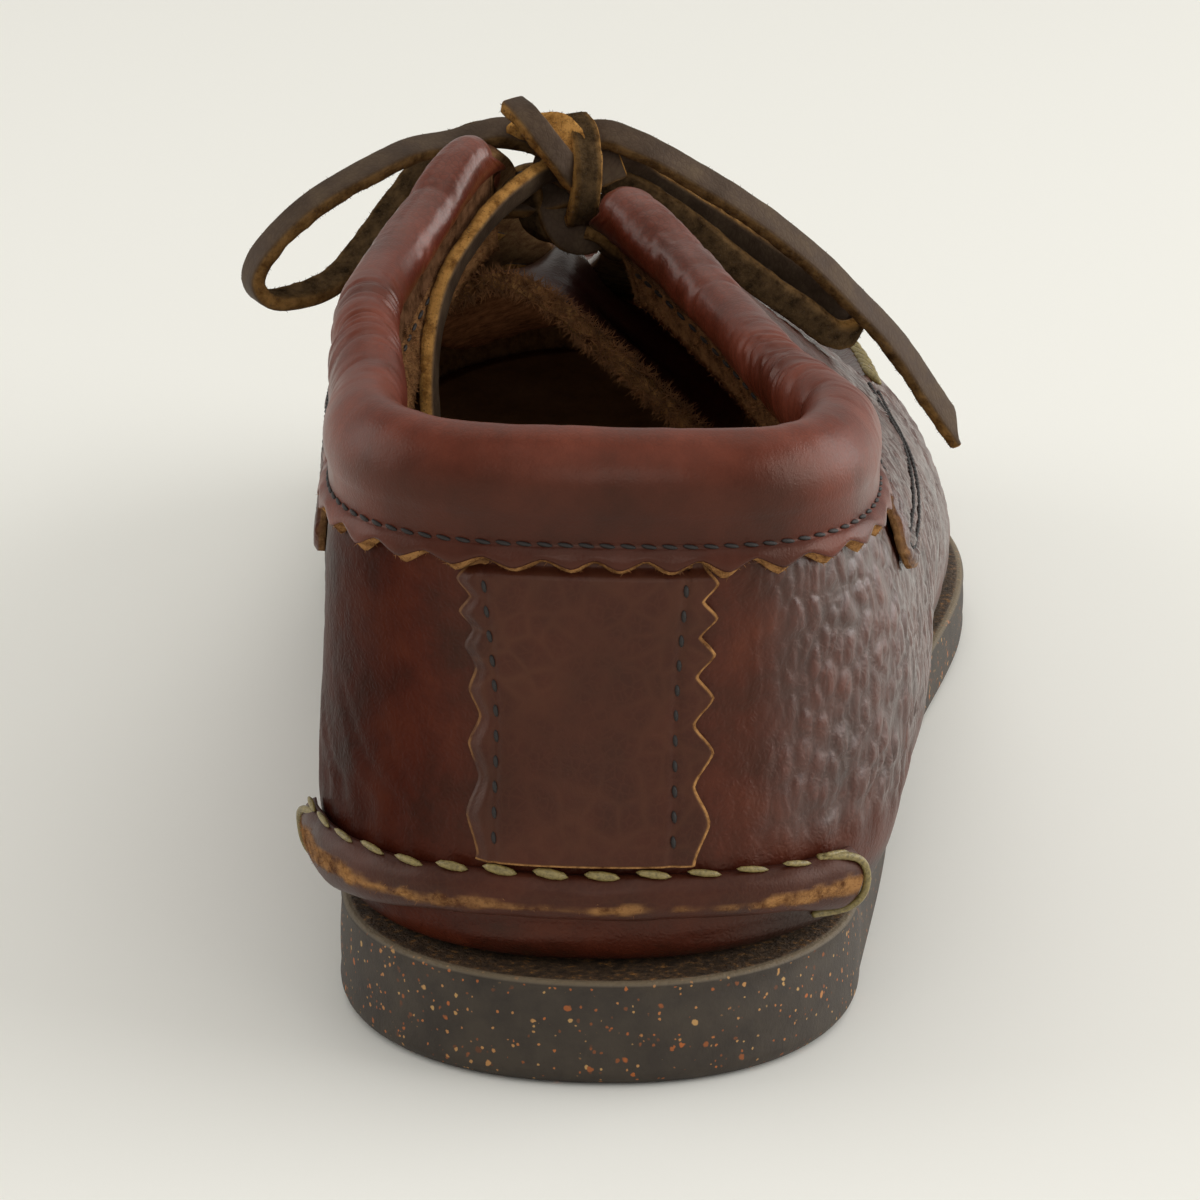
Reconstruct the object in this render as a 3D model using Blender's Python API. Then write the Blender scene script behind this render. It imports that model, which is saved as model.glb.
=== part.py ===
"""A hand-sewn lace-up derby shoe, moccasin built: one right shoe, size EU 42.

Lengths in the tables are millimetres in the last's own frame: y runs from the back of the heel to the
toe, x is positive towards the little toe, z is the height over the floor. place() moves them into the
part's frame, whose origin is under the middle of the sole, and turns them into metres.
"""

import math

import bmesh
import bpy
import numpy as np

# ---- driving dimensions ------------------------------------------------------------------------
SOLE_LENGTH = 292.0
SEAM_OVERHANG = 1.9  # how far the seam round the heel stands out behind the sole
FRAME_SHIFT = (1.2, (SEAM_OVERHANG - SOLE_LENGTH) / 2, 0.0)  # puts the middle of the shoe over the origin
MM = 0.001

HEEL_THICKNESS = 14.0
BALL_THICKNESS = 10.0
ARCH_RISE = 3.0
TOE_SPRING = 9.0
SOLE_TOP_BEVEL = 0.9
SOLE_BOTTOM_ROUND = 2.4

GAP = 0.3
WALL = 2.2
OVERLAY = 1.5
OVERLAY_GAP = 0.4
INSOLE_THICKNESS = 2.4
TONGUE_THICKNESS = 2.5

HEEL_CENTRE_Y = 38.0
TOE_CENTRE_Y = 248.0
HEEL_SQUARENESS = 2.2
COLLAR_SQUARENESS = 2.9
TOE_SQUARENESS = {1: 1.7, -1: 2.0}  # by side: 1 is lateral, -1 is medial
THROAT_Y = 158.0
TIP_Y = 115.0

# ---- tables -------------------------------------------------------------------------------------
SOLE_COLUMNS = ("y", "lateral", "medial")
SOLE_OUTLINE = (
    (38, 34.0, 34.0),
    (75, 37.2, 32.3),
    (108, 39.3, 29.0),
    (142, 43.5, 32.0),
    (180, 49.8, 46.9),
    (212, 49.0, 52.9),
    (248, 39.0, 51.5),
)
SOLE_TOE = {"x": -10.0, "reach": SOLE_LENGTH - TOE_CENTRE_Y}

# Half sections of the upper. foot: edge of the flat bottom. low: fullest point of the roll under the
# heel seam. belly: middle of the wall. seam: the shoulder, which forward is the moccasin seam.
# top: the collar edge, and forward of the throat the ridge line, which both sides share.
SECTION_COLUMNS = (
    "y", "foot_x", "low_x", "low_z", "belly_x", "belly_z", "seam_x", "seam_z", "top_x", "top_z",
)
LATERAL_SECTIONS = (
    (38, 27.0, 38.2, 24.0, 39.5, 42.0, 36.2, 61.0, 30.8, 76.0),
    (62, 28.0, 40.7, 24.0, 41.2, 41.0, 37.0, 60.0, 22.3, 77.3),
    (88, 31.0, 42.0, 22.5, 43.0, 38.5, 36.5, 58.0, 12.0, 81.3),
    (115, 34.5, 42.7, 20.5, 44.3, 35.0, 35.2, 54.8, -2.3, 86.8),
    (138, 38.0, 43.9, 18.5, 45.2, 31.0, 34.2, 51.0, -4.5, 76.0),
    (158, 41.7, 45.9, 17.0, 46.0, 28.2, 33.5, 47.8, -9.0, 66.5),
    (185, 44.5, 47.8, 16.0, 45.5, 25.5, 32.8, 43.0, -9.0, 56.0),
    (212, 42.5, 46.3, 16.0, 44.5, 25.0, 30.0, 40.5, -9.5, 49.5),
    (248, 32.0, 36.3, 18.5, 35.0, 27.0, 21.0, 39.5, -10.0, 44.0),
)
MEDIAL_SECTIONS = (
    (38, 28.5, 36.3, 24.0, 36.5, 42.0, 35.5, 61.0, 31.6, 77.3),
    (62, 27.5, 35.6, 25.0, 37.5, 43.0, 37.0, 62.0, 34.0, 81.8),
    (88, 25.5, 35.0, 26.0, 39.0, 44.0, 38.5, 64.0, 31.0, 86.0),
    (115, 26.0, 36.5, 25.0, 42.0, 41.0, 40.0, 61.0, 20.6, 94.3),
    (138, 29.5, 40.0, 22.0, 45.5, 36.0, 41.0, 55.0, 15.5, 79.5),
    (158, 36.0, 45.2, 19.1, 48.4, 31.7, 41.0, 49.4, 9.0, 66.5),
    (185, 43.5, 49.8, 17.0, 50.2, 27.5, 41.0, 44.5, 9.0, 56.0),
    (212, 46.8, 50.8, 16.0, 50.3, 26.0, 40.0, 41.0, 9.5, 49.5),
    (248, 45.0, 49.0, 18.5, 48.0, 27.0, 35.0, 39.5, 10.0, 44.0),
)
END_COLUMNS = SECTION_COLUMNS[1:]
RIDGE_COLUMNS = ("y", "x", "z")
RIDGE = ((158, -9.0, 66.5), (172, -9.0, 61.0), (190, -9.0, 54.7), (214, -9.5, 49.0), (248, -10.0, 44.0))
HEEL_SECTION = (29.0, 37.0, 25.0, 35.4, 42.0, 34.4, 60.0, 33.2, 77.4)
TOE_SECTION = (34.0, 38.6, 24.5, 37.2, 31.5, 21.5, 40.5, 0.0, 44.0)
SECTION_KNOTS = (0.20, 0.33, 0.47, 0.70, 1.0)  # v of foot, low, belly, seam, top

HEEL_X, TOE_X = -1.5, -10.0


# ---- curves ----------------------------------------------------------------------------------------
def clamped_basis(knots, at):
    """Rows that turn values at the knots, and the two end slopes, into a cubic spline's values."""
    knots = np.asarray(knots, float)
    at = np.atleast_1d(at).astype(float)
    count = len(knots)
    step = np.diff(knots)
    system = np.zeros((count, count))
    right = np.zeros((count, count + 2))
    system[0, 0] = system[-1, -1] = 1
    right[0, count] = right[-1, count + 1] = 1
    for i in range(1, count - 1):
        a, b = 1 / step[i - 1], 1 / step[i]
        system[i, i - 1:i + 2] = a, 2 * (a + b), b
        right[i, i - 1:i + 2] = -3 * a * a, 3 * (a * a - b * b), 3 * b * b
    slopes = np.linalg.solve(system, right)
    span = np.clip(np.searchsorted(knots, at, side="right") - 1, 0, count - 2)
    width = step[span]
    t = (at - knots[span]) / width
    values = np.zeros((len(at), count + 2))
    rows = np.arange(len(at))
    values[rows, span] += 2 * t**3 - 3 * t**2 + 1
    values[rows, span + 1] += -2 * t**3 + 3 * t**2
    values += ((t**3 - 2 * t**2 + t) * width)[:, None] * slopes[span]
    values += ((t**3 - t**2) * width)[:, None] * slopes[span + 1]
    return values


def through(knots, values, at):
    """A smooth curve through values at knots, read at the places given."""
    knots, values = np.asarray(knots, float), np.asarray(values, float)
    first = (values[1] - values[0]) / (knots[1] - knots[0])
    last = (values[-1] - values[-2]) / (knots[-1] - knots[-2])
    return clamped_basis(knots, at) @ np.concatenate([values, [first, last]])


def smooth_step(low, high, value):
    t = np.clip((value - low) / (high - low), 0, 1)
    return t * t * (3 - 2 * t)


# ---- the sole's surfaces -----------------------------------------------------------------------------
def spring(y):
    """How far the toe end of the sole lifts off the floor at y."""
    return TOE_SPRING * np.clip((y - 214) / (SOLE_LENGTH - 214), 0, 1) ** 1.8


def sole_top(y):
    y = np.asarray(y, float)
    return HEEL_THICKNESS + (BALL_THICKNESS - HEEL_THICKNESS) * smooth_step(70, 150, y) + spring(y)


def sole_bottom(y):
    """Heel and forefoot stand on the floor; the waist between them is hollowed across the shoe."""
    y = np.asarray(y, float)
    arch = smooth_step(82, 90, y) * (1 - smooth_step(112, 138, y))
    return ARCH_RISE * arch + spring(y)


# ---- the upper's surface ---------------------------------------------------------------------------------
def table(rows, columns):
    return {name: np.array([row[i] for row in rows], float) for i, name in enumerate(columns)}


SOLE = table(SOLE_OUTLINE, SOLE_COLUMNS)
SIDES = {1: table(LATERAL_SECTIONS, SECTION_COLUMNS), -1: table(MEDIAL_SECTIONS, SECTION_COLUMNS)}
RIDGE_LINE = table(RIDGE, RIDGE_COLUMNS)
HEEL_END = dict(zip(END_COLUMNS, HEEL_SECTION))
TOE_END = dict(zip(END_COLUMNS, TOE_SECTION))


def spine_x(y):
    """The x of the line that the half sections share, at the bottom and along the ridge."""
    return HEEL_X + (TOE_X - HEEL_X) * smooth_step(40, 170, y)


def profile(keys, v, foot_z, centre, ridge):
    """Reach from the spine and height at v of half sections given by their named keys, one each."""
    foot = SECTION_KNOTS[0]
    reach = np.stack([keys["foot_x"], keys["low_x"], keys["belly_x"], keys["seam_x"], keys["top_x"]])
    height = np.stack([foot_z, keys["low_z"], keys["belly_z"], keys["seam_z"], keys["top_z"]])
    first = 1.9 * (reach[1] - reach[0]) / (SECTION_KNOTS[1] - foot)
    last = 1.15 * (reach[-1] - reach[-2]) / (1 - SECTION_KNOTS[-2])
    rise = 1.15 * (height[-1] - height[-2]) / (1 - SECTION_KNOTS[-2]) * (1 - ridge)
    basis = clamped_basis(SECTION_KNOTS, np.maximum(v, foot))
    wall_x = np.einsum("nk,kn->n", basis, np.vstack([reach, first, last]))
    wall_z = np.einsum("nk,kn->n", basis, np.vstack([height, 0 * first, rise]))
    inside = np.clip(v / foot, 0, 1)
    flat = v < foot
    return np.where(flat, centre + (reach[0] - centre) * inside, wall_x), np.where(flat, foot_z, wall_z)


def skin(s, v):
    """Points of the upper's outer face. s is signed: its sign is the side, and its size runs 0 to 1
    round the heel, 1 to 2 along the side and 2 to 3 round the toe. v runs from the middle of the
    bottom, at 0, to the collar edge or the ridge, at 1."""
    s, v = np.broadcast_arrays(np.asarray(s, float), np.asarray(v, float))
    shape = s.shape
    s, v = s.ravel(), v.ravel()
    points = np.zeros((len(s), 3))
    for side in (1, -1):
        mine = (s >= 0) if side == 1 else (s < 0)
        if not mine.any():
            continue
        place_on, height = np.abs(s[mine]), v[mine]
        rows = SIDES[side]
        along = HEEL_CENTRE_Y + (TOE_CENTRE_Y - HEEL_CENTRE_Y) * np.clip(place_on - 1, 0, 1)
        keys = {name: through(rows["y"], rows[name], along) for name in END_COLUMNS}
        closed = along >= THROAT_Y
        ridge_x = through(RIDGE_LINE["y"], RIDGE_LINE["x"], along)
        ridge_z = through(RIDGE_LINE["y"], RIDGE_LINE["z"], along)
        keys["top_x"] = np.where(closed, side * ridge_x, keys["top_x"])
        keys["top_z"] = np.where(closed, ridge_z, keys["top_z"])
        ridge = smooth_step(TIP_Y, THROAT_Y + 4, along)
        spine = side * spine_x(along)
        x, z = profile(keys, height, sole_top(along) + GAP, spine, ridge)
        y = along.copy()
        for end, centre_y, centre_x, toward, part in (
            (HEEL_END, HEEL_CENTRE_Y, HEEL_X, -1, place_on < 1),
            (TOE_END, TOE_CENTRE_Y, TOE_X, 1, place_on > 2),
        ):
            if not part.any():
                continue
            turn = np.where(toward < 0, place_on[part], 3 - place_on[part]) * math.pi / 2
            square = TOE_SQUARENESS[side]
            if toward < 0:
                square = HEEL_SQUARENESS + (COLLAR_SQUARENESS - HEEL_SQUARENESS) * smooth_step(
                    SECTION_KNOTS[2], 1, height[part])
            end_keys = {name: np.full(part.sum(), value) for name, value in end.items()}
            tip = centre_y + toward * end["foot_x"]
            foot_z = np.full(part.sum(), float(sole_top(tip)) + GAP)
            flatten = np.full(part.sum(), 0.0 if toward < 0 else 1.0)
            reach, end_z = profile(end_keys, height[part], foot_z, np.zeros(part.sum()), flatten)
            across, onward = np.sin(turn) ** (2 / square), np.cos(turn) ** (2 / square)
            middle = side * centre_x
            x[part] = middle + (x[part] - middle) * across
            y[part] = centre_y + toward * reach * onward
            z[part] = end_z * np.cos(turn) ** 2 + z[part] * np.sin(turn) ** 2
        on_sole = sole_top(y) + GAP
        z = np.where(height <= SECTION_KNOTS[0], on_sole, np.maximum(z, on_sole))
        points[mine] = np.stack([side * x, y, z], axis=1)
    return points.reshape(*shape, 3)


def skin_normal(s, v, step=2e-3):
    """Outward unit normals of the skin, by differences that stay on the surface."""
    s, v = np.broadcast_arrays(np.asarray(s, float), np.asarray(v, float))
    up, down = np.minimum(v + step, 1.0), np.maximum(v - step, 0.0)
    rise = skin(s, up) - skin(s, down)
    round_it = skin(s + step, v) - skin(s - step, v)
    out = np.cross(round_it, rise)
    out /= np.maximum(np.linalg.norm(out, axis=-1, keepdims=True), 1e-9)
    return out


def off_skin(s, v, lift):
    """Points standing off the skin by lift, along its normal."""
    lift = np.broadcast_to(np.asarray(lift, float), np.broadcast(s, v).shape)
    return skin(s, v) + lift[..., None] * skin_normal(s, v)


def station(y):
    """The s of a place along the side, y millimetres from the back of the heel."""
    return 1 + (np.asarray(y, float) - HEEL_CENTRE_Y) / (TOE_CENTRE_Y - HEEL_CENTRE_Y)


# ---- Blender helpers ---------------------------------------------------------------------------------
def place(points):
    return (np.asarray(points, float) + FRAME_SHIFT) * MM


def finish(name, colour, roughness):
    material = bpy.data.materials.new(name)
    material.use_nodes = True
    shader = material.node_tree.nodes["Principled BSDF"]
    shader.inputs["Base Color"].default_value = (*colour, 1)
    shader.inputs["Roughness"].default_value = roughness
    shader.inputs["Metallic"].default_value = 0
    return material


def add_object(name, data, material):
    data.materials.append(material)
    obj = bpy.data.objects.new(name, data)
    bpy.context.scene.collection.objects.link(obj)
    return obj


def mesh_object(name, points, faces, material, sharp_degrees=40):
    """A closed mesh from points in the last's frame, with doubled points made one."""
    mesh = bpy.data.meshes.new(name)
    mesh.from_pydata(place(points).tolist(), [], faces)
    build = bmesh.new()
    build.from_mesh(mesh)
    bmesh.ops.remove_doubles(build, verts=build.verts, dist=2e-6)
    bmesh.ops.dissolve_degenerate(build, edges=build.edges, dist=1e-6)
    bmesh.ops.recalc_face_normals(build, faces=build.faces)
    if build.calc_volume(signed=True) < 0:
        bmesh.ops.reverse_faces(build, faces=build.faces)
    build.to_mesh(mesh)
    build.free()
    mesh.shade_smooth()
    mesh.set_sharp_from_angle(angle=math.radians(sharp_degrees))
    return add_object(name, mesh, material)


def grid_faces(rows, columns, start=0, close_columns=False, close_rows=False):
    """Quads over a grid of points stored row by row."""
    faces = []
    for i in range(rows if close_rows else rows - 1):
        for j in range(columns if close_columns else columns - 1):
            a, b = i * columns + j, i * columns + (j + 1) % columns
            c, d = ((i + 1) % rows) * columns + (j + 1) % columns, ((i + 1) % rows) * columns + j
            faces.append([start + a, start + b, start + c, start + d])
    return faces


def sheet_object(name, outer, inner, material):
    """A plate between two grids of points of one shape, closed round its edge."""
    rows, columns = outer.shape[:2]
    points = np.concatenate([outer.reshape(-1, 3), inner.reshape(-1, 3)])
    under = rows * columns
    faces = grid_faces(rows, columns)
    faces += [face[::-1] for face in grid_faces(rows, columns, under)]
    edge = [j for j in range(columns)]
    edge += [i * columns + columns - 1 for i in range(1, rows)]
    edge += [(rows - 1) * columns + j for j in range(columns - 2, -1, -1)]
    edge += [i * columns for i in range(rows - 2, 0, -1)]
    for a, b in zip(edge, edge[1:] + edge[:1]):
        faces.append([b, a, a + under, b + under])
    return mesh_object(name, points, faces, material)


def swept_object(name, loops, material):
    """A closed bar through cross-section loops of one count, with flat ends."""
    rows, columns = loops.shape[:2]
    faces = grid_faces(rows, columns, close_columns=True)
    faces.append(list(range(columns))[::-1])
    faces.append([(rows - 1) * columns + j for j in range(columns)])
    return mesh_object(name, loops.reshape(-1, 3), faces, material)


# ---- where the sections are taken --------------------------------------------------------------------
HEEL_TURNS = (0.0, 0.14, 0.28, 0.42, 0.56, 0.70, 0.85)
SIDE_STATIONS = (38, 50, 62, 75, 88, 100, 112, 124, 136, 148, 158, 168, 180, 194, 208, 222, 236)
TOE_TURNS = (2.0, 2.16, 2.32, 2.48, 2.64, 2.82)
UPPER_LEVELS = (0, 0.11, 0.2, 0.235, 0.275, 0.33, 0.4, 0.47, 0.55, 0.62,
                0.674, 0.69, 0.708, 0.724, 0.79, 0.86, 0.93, 1.0)
SEAM_LEVELS = (0.68, 0.715)


def round_the_shoe(stations):
    """Signed s values from the middle of the heel, along the outside to the toe and back inside."""
    half = list(HEEL_TURNS) + [float(station(y)) for y in stations] + list(TOE_TURNS)
    return np.array(half + [3.0] + [-s for s in reversed(half[1:])])


# ---- outsole --------------------------------------------------------------------------------------------
def sole_ring(s, inset):
    """Points of the sole's outline, moved in by inset, at height 0."""
    points = []
    for value in s:
        side = 1 if value >= 0 else -1
        name = "lateral" if side == 1 else "medial"
        part = abs(value)
        y = HEEL_CENTRE_Y + (TOE_CENTRE_Y - HEEL_CENTRE_Y) * min(max(part - 1, 0), 1)
        x = side * (float(through(SOLE["y"], SOLE[name], y)[0]) - inset)
        if part < 1:
            turn = part * math.pi / 2
            x *= math.sin(turn) ** (2 / HEEL_SQUARENESS)
            y -= (HEEL_CENTRE_Y - inset) * math.cos(turn) ** (2 / HEEL_SQUARENESS)
        elif part > 2:
            turn = max(3 - part, 0) * math.pi / 2
            power = 2 / TOE_SQUARENESS[side]
            middle = SOLE_TOE["x"]
            x = middle + (x - middle) * math.sin(turn) ** power
            y += (SOLE_TOE["reach"] - inset) * math.cos(turn) ** power
        points.append((x, y, 0.0))
    return np.array(points)


def spine_points(s):
    """For each s, the point of the middle line that its half section starts from."""
    y = HEEL_CENTRE_Y + (TOE_CENTRE_Y - HEEL_CENTRE_Y) * np.clip(np.abs(s) - 1, 0, 1)
    return np.stack([spine_x(y), y, np.zeros(len(y))], axis=1)


def at_height(points, height):
    lifted = points.copy()
    lifted[:, 2] = height(points[:, 1])
    return lifted


def build_outsole():
    """A one-piece rubber unit: flat heel, hollowed waist, flat forefoot and a sprung toe."""
    stations = (38, 50, 62, 74, 82, 86, 90, 101, 112, 120, 129, 138, 152, 166, 180, 194, 208, 222, 236)
    s = round_the_shoe(stations)
    round_mid = SOLE_BOTTOM_ROUND * 0.3
    rings = [
        at_height(spine_points(s), sole_bottom),
        at_height(sole_ring(s, 14), sole_bottom),
        at_height(sole_ring(s, SOLE_BOTTOM_ROUND), sole_bottom),
        at_height(sole_ring(s, round_mid), lambda y: sole_bottom(y) + round_mid),
        at_height(sole_ring(s, 0), lambda y: sole_bottom(y) + SOLE_BOTTOM_ROUND),
        at_height(sole_ring(s, 0), lambda y: sole_top(y) - SOLE_TOP_BEVEL),
        at_height(sole_ring(s, SOLE_TOP_BEVEL), sole_top),
        at_height(sole_ring(s, 14), sole_top),
        at_height((sole_ring(s, 14) + spine_points(s)) / 2, sole_top),
        at_height(spine_points(s), sole_top),
    ]
    points = np.stack(rings)
    faces = grid_faces(len(rings), len(s), close_columns=True)
    rubber = finish("cork flecked rubber", (0.062, 0.050, 0.040), 0.62)
    return mesh_object("outsole", points.reshape(-1, 3), faces, rubber, 35)


# ---- upper ---------------------------------------------------------------------------------------------------
MOC_SEAM_HEIGHT = 2.6
MOC_SEAM_START_Y = 166.0


def moc_seam_lift(s, v):
    """How far the hand-sewn seam round the forepart stands off the skin."""
    along = HEEL_CENTRE_Y + (TOE_CENTRE_Y - HEEL_CENTRE_Y) * (np.abs(s) - 1)
    forward = smooth_step(MOC_SEAM_START_Y, MOC_SEAM_START_Y + 10, along)
    on_ridge = (v > SEAM_LEVELS[0]) & (v < SEAM_LEVELS[1])
    return MOC_SEAM_HEIGHT * forward * on_ridge


def opening_rim(s):
    """Which columns of the shell end at the collar or a facing, not at the ridge line."""
    along = HEEL_CENTRE_Y + (TOE_CENTRE_Y - HEEL_CENTRE_Y) * (np.abs(s) - 1)
    return along < THROAT_Y - 0.5


def build_upper(leather):
    """One moccasin shell: it wraps under the foot, and opens at the collar and between the facings."""
    s = round_the_shoe(SIDE_STATIONS)
    v = np.array(UPPER_LEVELS)
    across, up = np.meshgrid(s, v)
    base = skin(across, up)
    base_faces = grid_faces(len(v), len(s), close_columns=True)
    mesh = bmesh.new()
    order = mesh.verts.layers.int.new("order")
    corners = [mesh.verts.new(point) for point in base.reshape(-1, 3)]
    for i, corner in enumerate(corners):
        corner[order] = i
    for face in base_faces:
        mesh.faces.new([corners[i] for i in face])
    nearest = {}
    for i, point in enumerate(base.reshape(-1, 3)):
        nearest.setdefault(tuple(np.round(point, 3)), i)
    home = [nearest[tuple(np.round(point, 3))] for point in base.reshape(-1, 3)]
    bmesh.ops.remove_doubles(mesh, verts=mesh.verts, dist=2e-3)
    bmesh.ops.recalc_face_normals(mesh, faces=mesh.faces)
    low = min(mesh.faces, key=lambda face: face.calc_center_median().z)
    if low.normal.z > 0:
        bmesh.ops.reverse_faces(mesh, faces=mesh.faces)
    mesh.normal_update()
    normals = {home[vert[order]]: np.array(vert.normal) for vert in mesh.verts}
    mesh.free()
    normal = np.array([normals[i] for i in home])
    outer = base.reshape(-1, 3) + normal * moc_seam_lift(across, up).reshape(-1, 1)
    inner = base.reshape(-1, 3) - normal * WALL
    count = len(s) * len(v)
    faces = base_faces + [face[::-1] for face in grid_faces(len(v), len(s), count, close_columns=True)]
    rim = opening_rim(s)
    top = (len(v) - 1) * len(s)
    for j in range(len(s)):
        k = (j + 1) % len(s)
        if rim[j] or rim[k]:
            faces.append([top + k, top + j, count + top + j, count + top + k])
    return mesh_object("upper", np.concatenate([outer, inner]), faces, leather, 50)


# ---- collar -----------------------------------------------------------------------------------------------------
COLLAR_COLUMNS = ("half_thickness", "half_height", "outer_flange", "inner_flange")
COLLAR_BACK = (5.0, 6.6, 4.2, 1.0)
COLLAR_FACING = (4.1, 4.3, 1.0, 1.5)
COLLAR_NARROWS = (42.0, 78.0)
COLLAR_SKIN = 1.5
SLOT_GAP = 0.42
ROLL_START = -0.78


def down_from_edge(s, distance):
    """The v at which the skin's section has run the distance down from its top edge."""
    s, distance = np.broadcast_arrays(np.atleast_1d(s).astype(float), np.asarray(distance, float))
    levels = np.linspace(1.0, SECTION_KNOTS[1], 41)
    across, up = np.meshgrid(s, levels)
    points = skin(across, up)
    run = np.linalg.norm(np.diff(points, axis=0), axis=2).cumsum(axis=0)
    run = np.vstack([np.zeros(len(s)), run])
    return np.array([np.interp(distance[i], run[:, i], levels) for i in range(len(s))])


def edge_point(s, distance, lift):
    """Points at a distance below the top edge, or above it where that is negative, off the skin by lift."""
    below = off_skin(s, down_from_edge(s, np.maximum(distance, 0)), lift)
    upward = skin(s, 1.0) - skin(s, 0.97)
    upward /= np.linalg.norm(upward, axis=1, keepdims=True)
    return below - np.minimum(distance, 0)[:, None] * upward


def collar_sizes(s):
    along = HEEL_CENTRE_Y + (TOE_CENTRE_Y - HEEL_CENTRE_Y) * (np.abs(s) - 1)
    forward = smooth_step(*COLLAR_NARROWS, along)
    return {name: back + (facing - back) * forward
            for name, back, facing in zip(COLLAR_COLUMNS, COLLAR_BACK, COLLAR_FACING)}


def collar_section(size):
    """The padded roll's section as (distance down, lift) pairs, with the slot that the wall fills."""
    thick, tall = size["half_thickness"], size["half_height"]
    near_out, near_in = SLOT_GAP, -WALL - SLOT_GAP
    out, inward = near_out + COLLAR_SKIN, near_in - COLLAR_SKIN
    low_out, low_in = tall + size["outer_flange"], tall + size["inner_flange"]
    same = np.ones_like(tall)
    pairs = [(low_out / 2, near_out * same), (low_out, near_out * same)]
    pairs += [(low_out, out * same), (tall, out * same)]
    for step in range(9):
        turn = ROLL_START + (math.pi - 2 * ROLL_START) * step / 8
        pairs.append((-tall * math.sin(turn), thick * math.cos(turn) - WALL / 2))
    pairs += [(tall, inward * same), (low_in, inward * same), (low_in, near_in * same)]
    pairs += [(-SLOT_GAP * same, near_in * same), (-SLOT_GAP * same, near_out * same)]
    return pairs


def facing_stations():
    half = list(HEEL_TURNS[1:]) + [float(station(y)) for y in SIDE_STATIONS if y < TIP_Y]
    half.append(float(station(TIP_Y)))
    return np.array([-value for value in reversed(half)] + [0.0] + half)


def build_collar(leather):
    """The padded roll round the heel and up both facings, folded over the wall's edge."""
    s = facing_stations()
    loops = [edge_point(s, down, lift) for down, lift in collar_section(collar_sizes(s))]
    return swept_object("collar", np.stack(loops, axis=1), leather)


# ---- overlays -----------------------------------------------------------------------------------------------------
EYESTAY_STATIONS = (42, 43.5, 46, 50, 56, 62, 75, 88, 100, 112, 117, 121, 130, 139, 148, 153, 158, 162, 165, 166.5)
EYESTAY_LOW = ((42, 0.595), (62, 0.600), (88, 0.625), (115, 0.655), (166.5, 0.675))
EYESTAY_TAB, EYESTAY_FRONT = 9.0, 20.0


def eyestay_levels(side, y, columns):
    """The v values across an eyestay at y: a rounded tab behind, the facing's edge in front."""
    s = side * station(y)
    low = float(np.interp(y, *zip(*EYESTAY_LOW)))
    size = collar_sizes(np.array([s]))
    under_collar = float(size["half_height"][0] + size["outer_flange"][0]) + 0.5
    edge = under_collar if y <= 117 else max(0.35, under_collar - (y - 117) * 1.6)
    high = float(down_from_edge(s, edge)[0])
    tab = math.sqrt(max(0.0, 1 - (max(0.0, EYESTAY_STATIONS[0] + EYESTAY_TAB - y) / EYESTAY_TAB) ** 2))
    start = EYESTAY_STATIONS[-1] - EYESTAY_FRONT
    front = math.sqrt(max(0.0, 1 - (max(0.0, y - start) / EYESTAY_FRONT) ** 2))
    middle = low + (high - low) * 0.35
    share = max(0.16, min(tab, 1.0))
    low, high = middle + (low - middle) * share, middle + (high - middle) * share
    high = low + (high - low) * max(0.12, front)
    return np.linspace(low, high, columns)


def build_eyestay(name, side, leather):
    levels = np.array([eyestay_levels(side, y, 8) for y in EYESTAY_STATIONS])
    s = side * station(np.array(EYESTAY_STATIONS))[:, None] * np.ones_like(levels)
    return sheet_object(name, off_skin(s, levels, OVERLAY_GAP + OVERLAY), off_skin(s, levels, OVERLAY_GAP), leather)


PANEL_FOOT = 0.368
PANEL_TURNS = (-0.215, -0.13, 0.0, 0.13, 0.215)


def build_heel_panel(leather):
    """The strip down the back of the heel, under the collar's lower edge."""
    turns = np.array(PANEL_TURNS)
    size = collar_sizes(turns)
    top = down_from_edge(turns, size["half_height"] + size["outer_flange"] + 0.4)
    levels = np.array([np.linspace(PANEL_FOOT, high, 9) for high in top])
    s = turns[:, None] * np.ones_like(levels)
    return sheet_object("heel_panel", off_skin(s, levels, OVERLAY_GAP + OVERLAY), off_skin(s, levels, OVERLAY_GAP), leather)


HEEL_SEAM_LEVEL, HEEL_SEAM_DROP = 0.335, 0.018  # v at the back, and how much lower its ends lie
HEEL_SEAM_END = 0.90
HEEL_SEAM_SECTION = ((-2.7, 0.3), (-2.5, 1.5), (-1.2, 2.8), (1.0, 2.9), (2.5, 1.9), (2.9, 0.3))


def build_heel_seam(leather):
    """The raised edge of the bottom leather, sewn round the back of the heel."""
    s = np.array([-HEEL_SEAM_END] + [-v for v in reversed(HEEL_TURNS[1:])] + list(HEEL_TURNS) + [HEEL_SEAM_END])
    middle = HEEL_SEAM_LEVEL - HEEL_SEAM_DROP * s**2
    per_level = np.linalg.norm(skin(s, middle + 0.02) - skin(s, middle - 0.02), axis=1) / 0.04
    loops = [off_skin(s, middle + up / per_level, lift) for up, lift in HEEL_SEAM_SECTION]
    return swept_object("heel_seam", np.stack(loops, axis=1), leather)


# ---- insole ----------------------------------------------------------------------------------------------------------
def build_insole(leather):
    s = round_the_shoe(SIDE_STATIONS)
    lift = GAP + WALL + GAP
    rings = []
    for height, levels in ((lift, (0, 0.1, 0.19)), (lift + INSOLE_THICKNESS, (0.195, 0.1, 0))):
        for level in levels:
            ring = skin(s, level)
            rings.append(at_height(ring, lambda y, height=height: sole_top(y) + height))
    faces = grid_faces(len(rings), len(s), close_columns=True)
    return mesh_object("insole", np.stack(rings).reshape(-1, 3), faces, leather)


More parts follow.
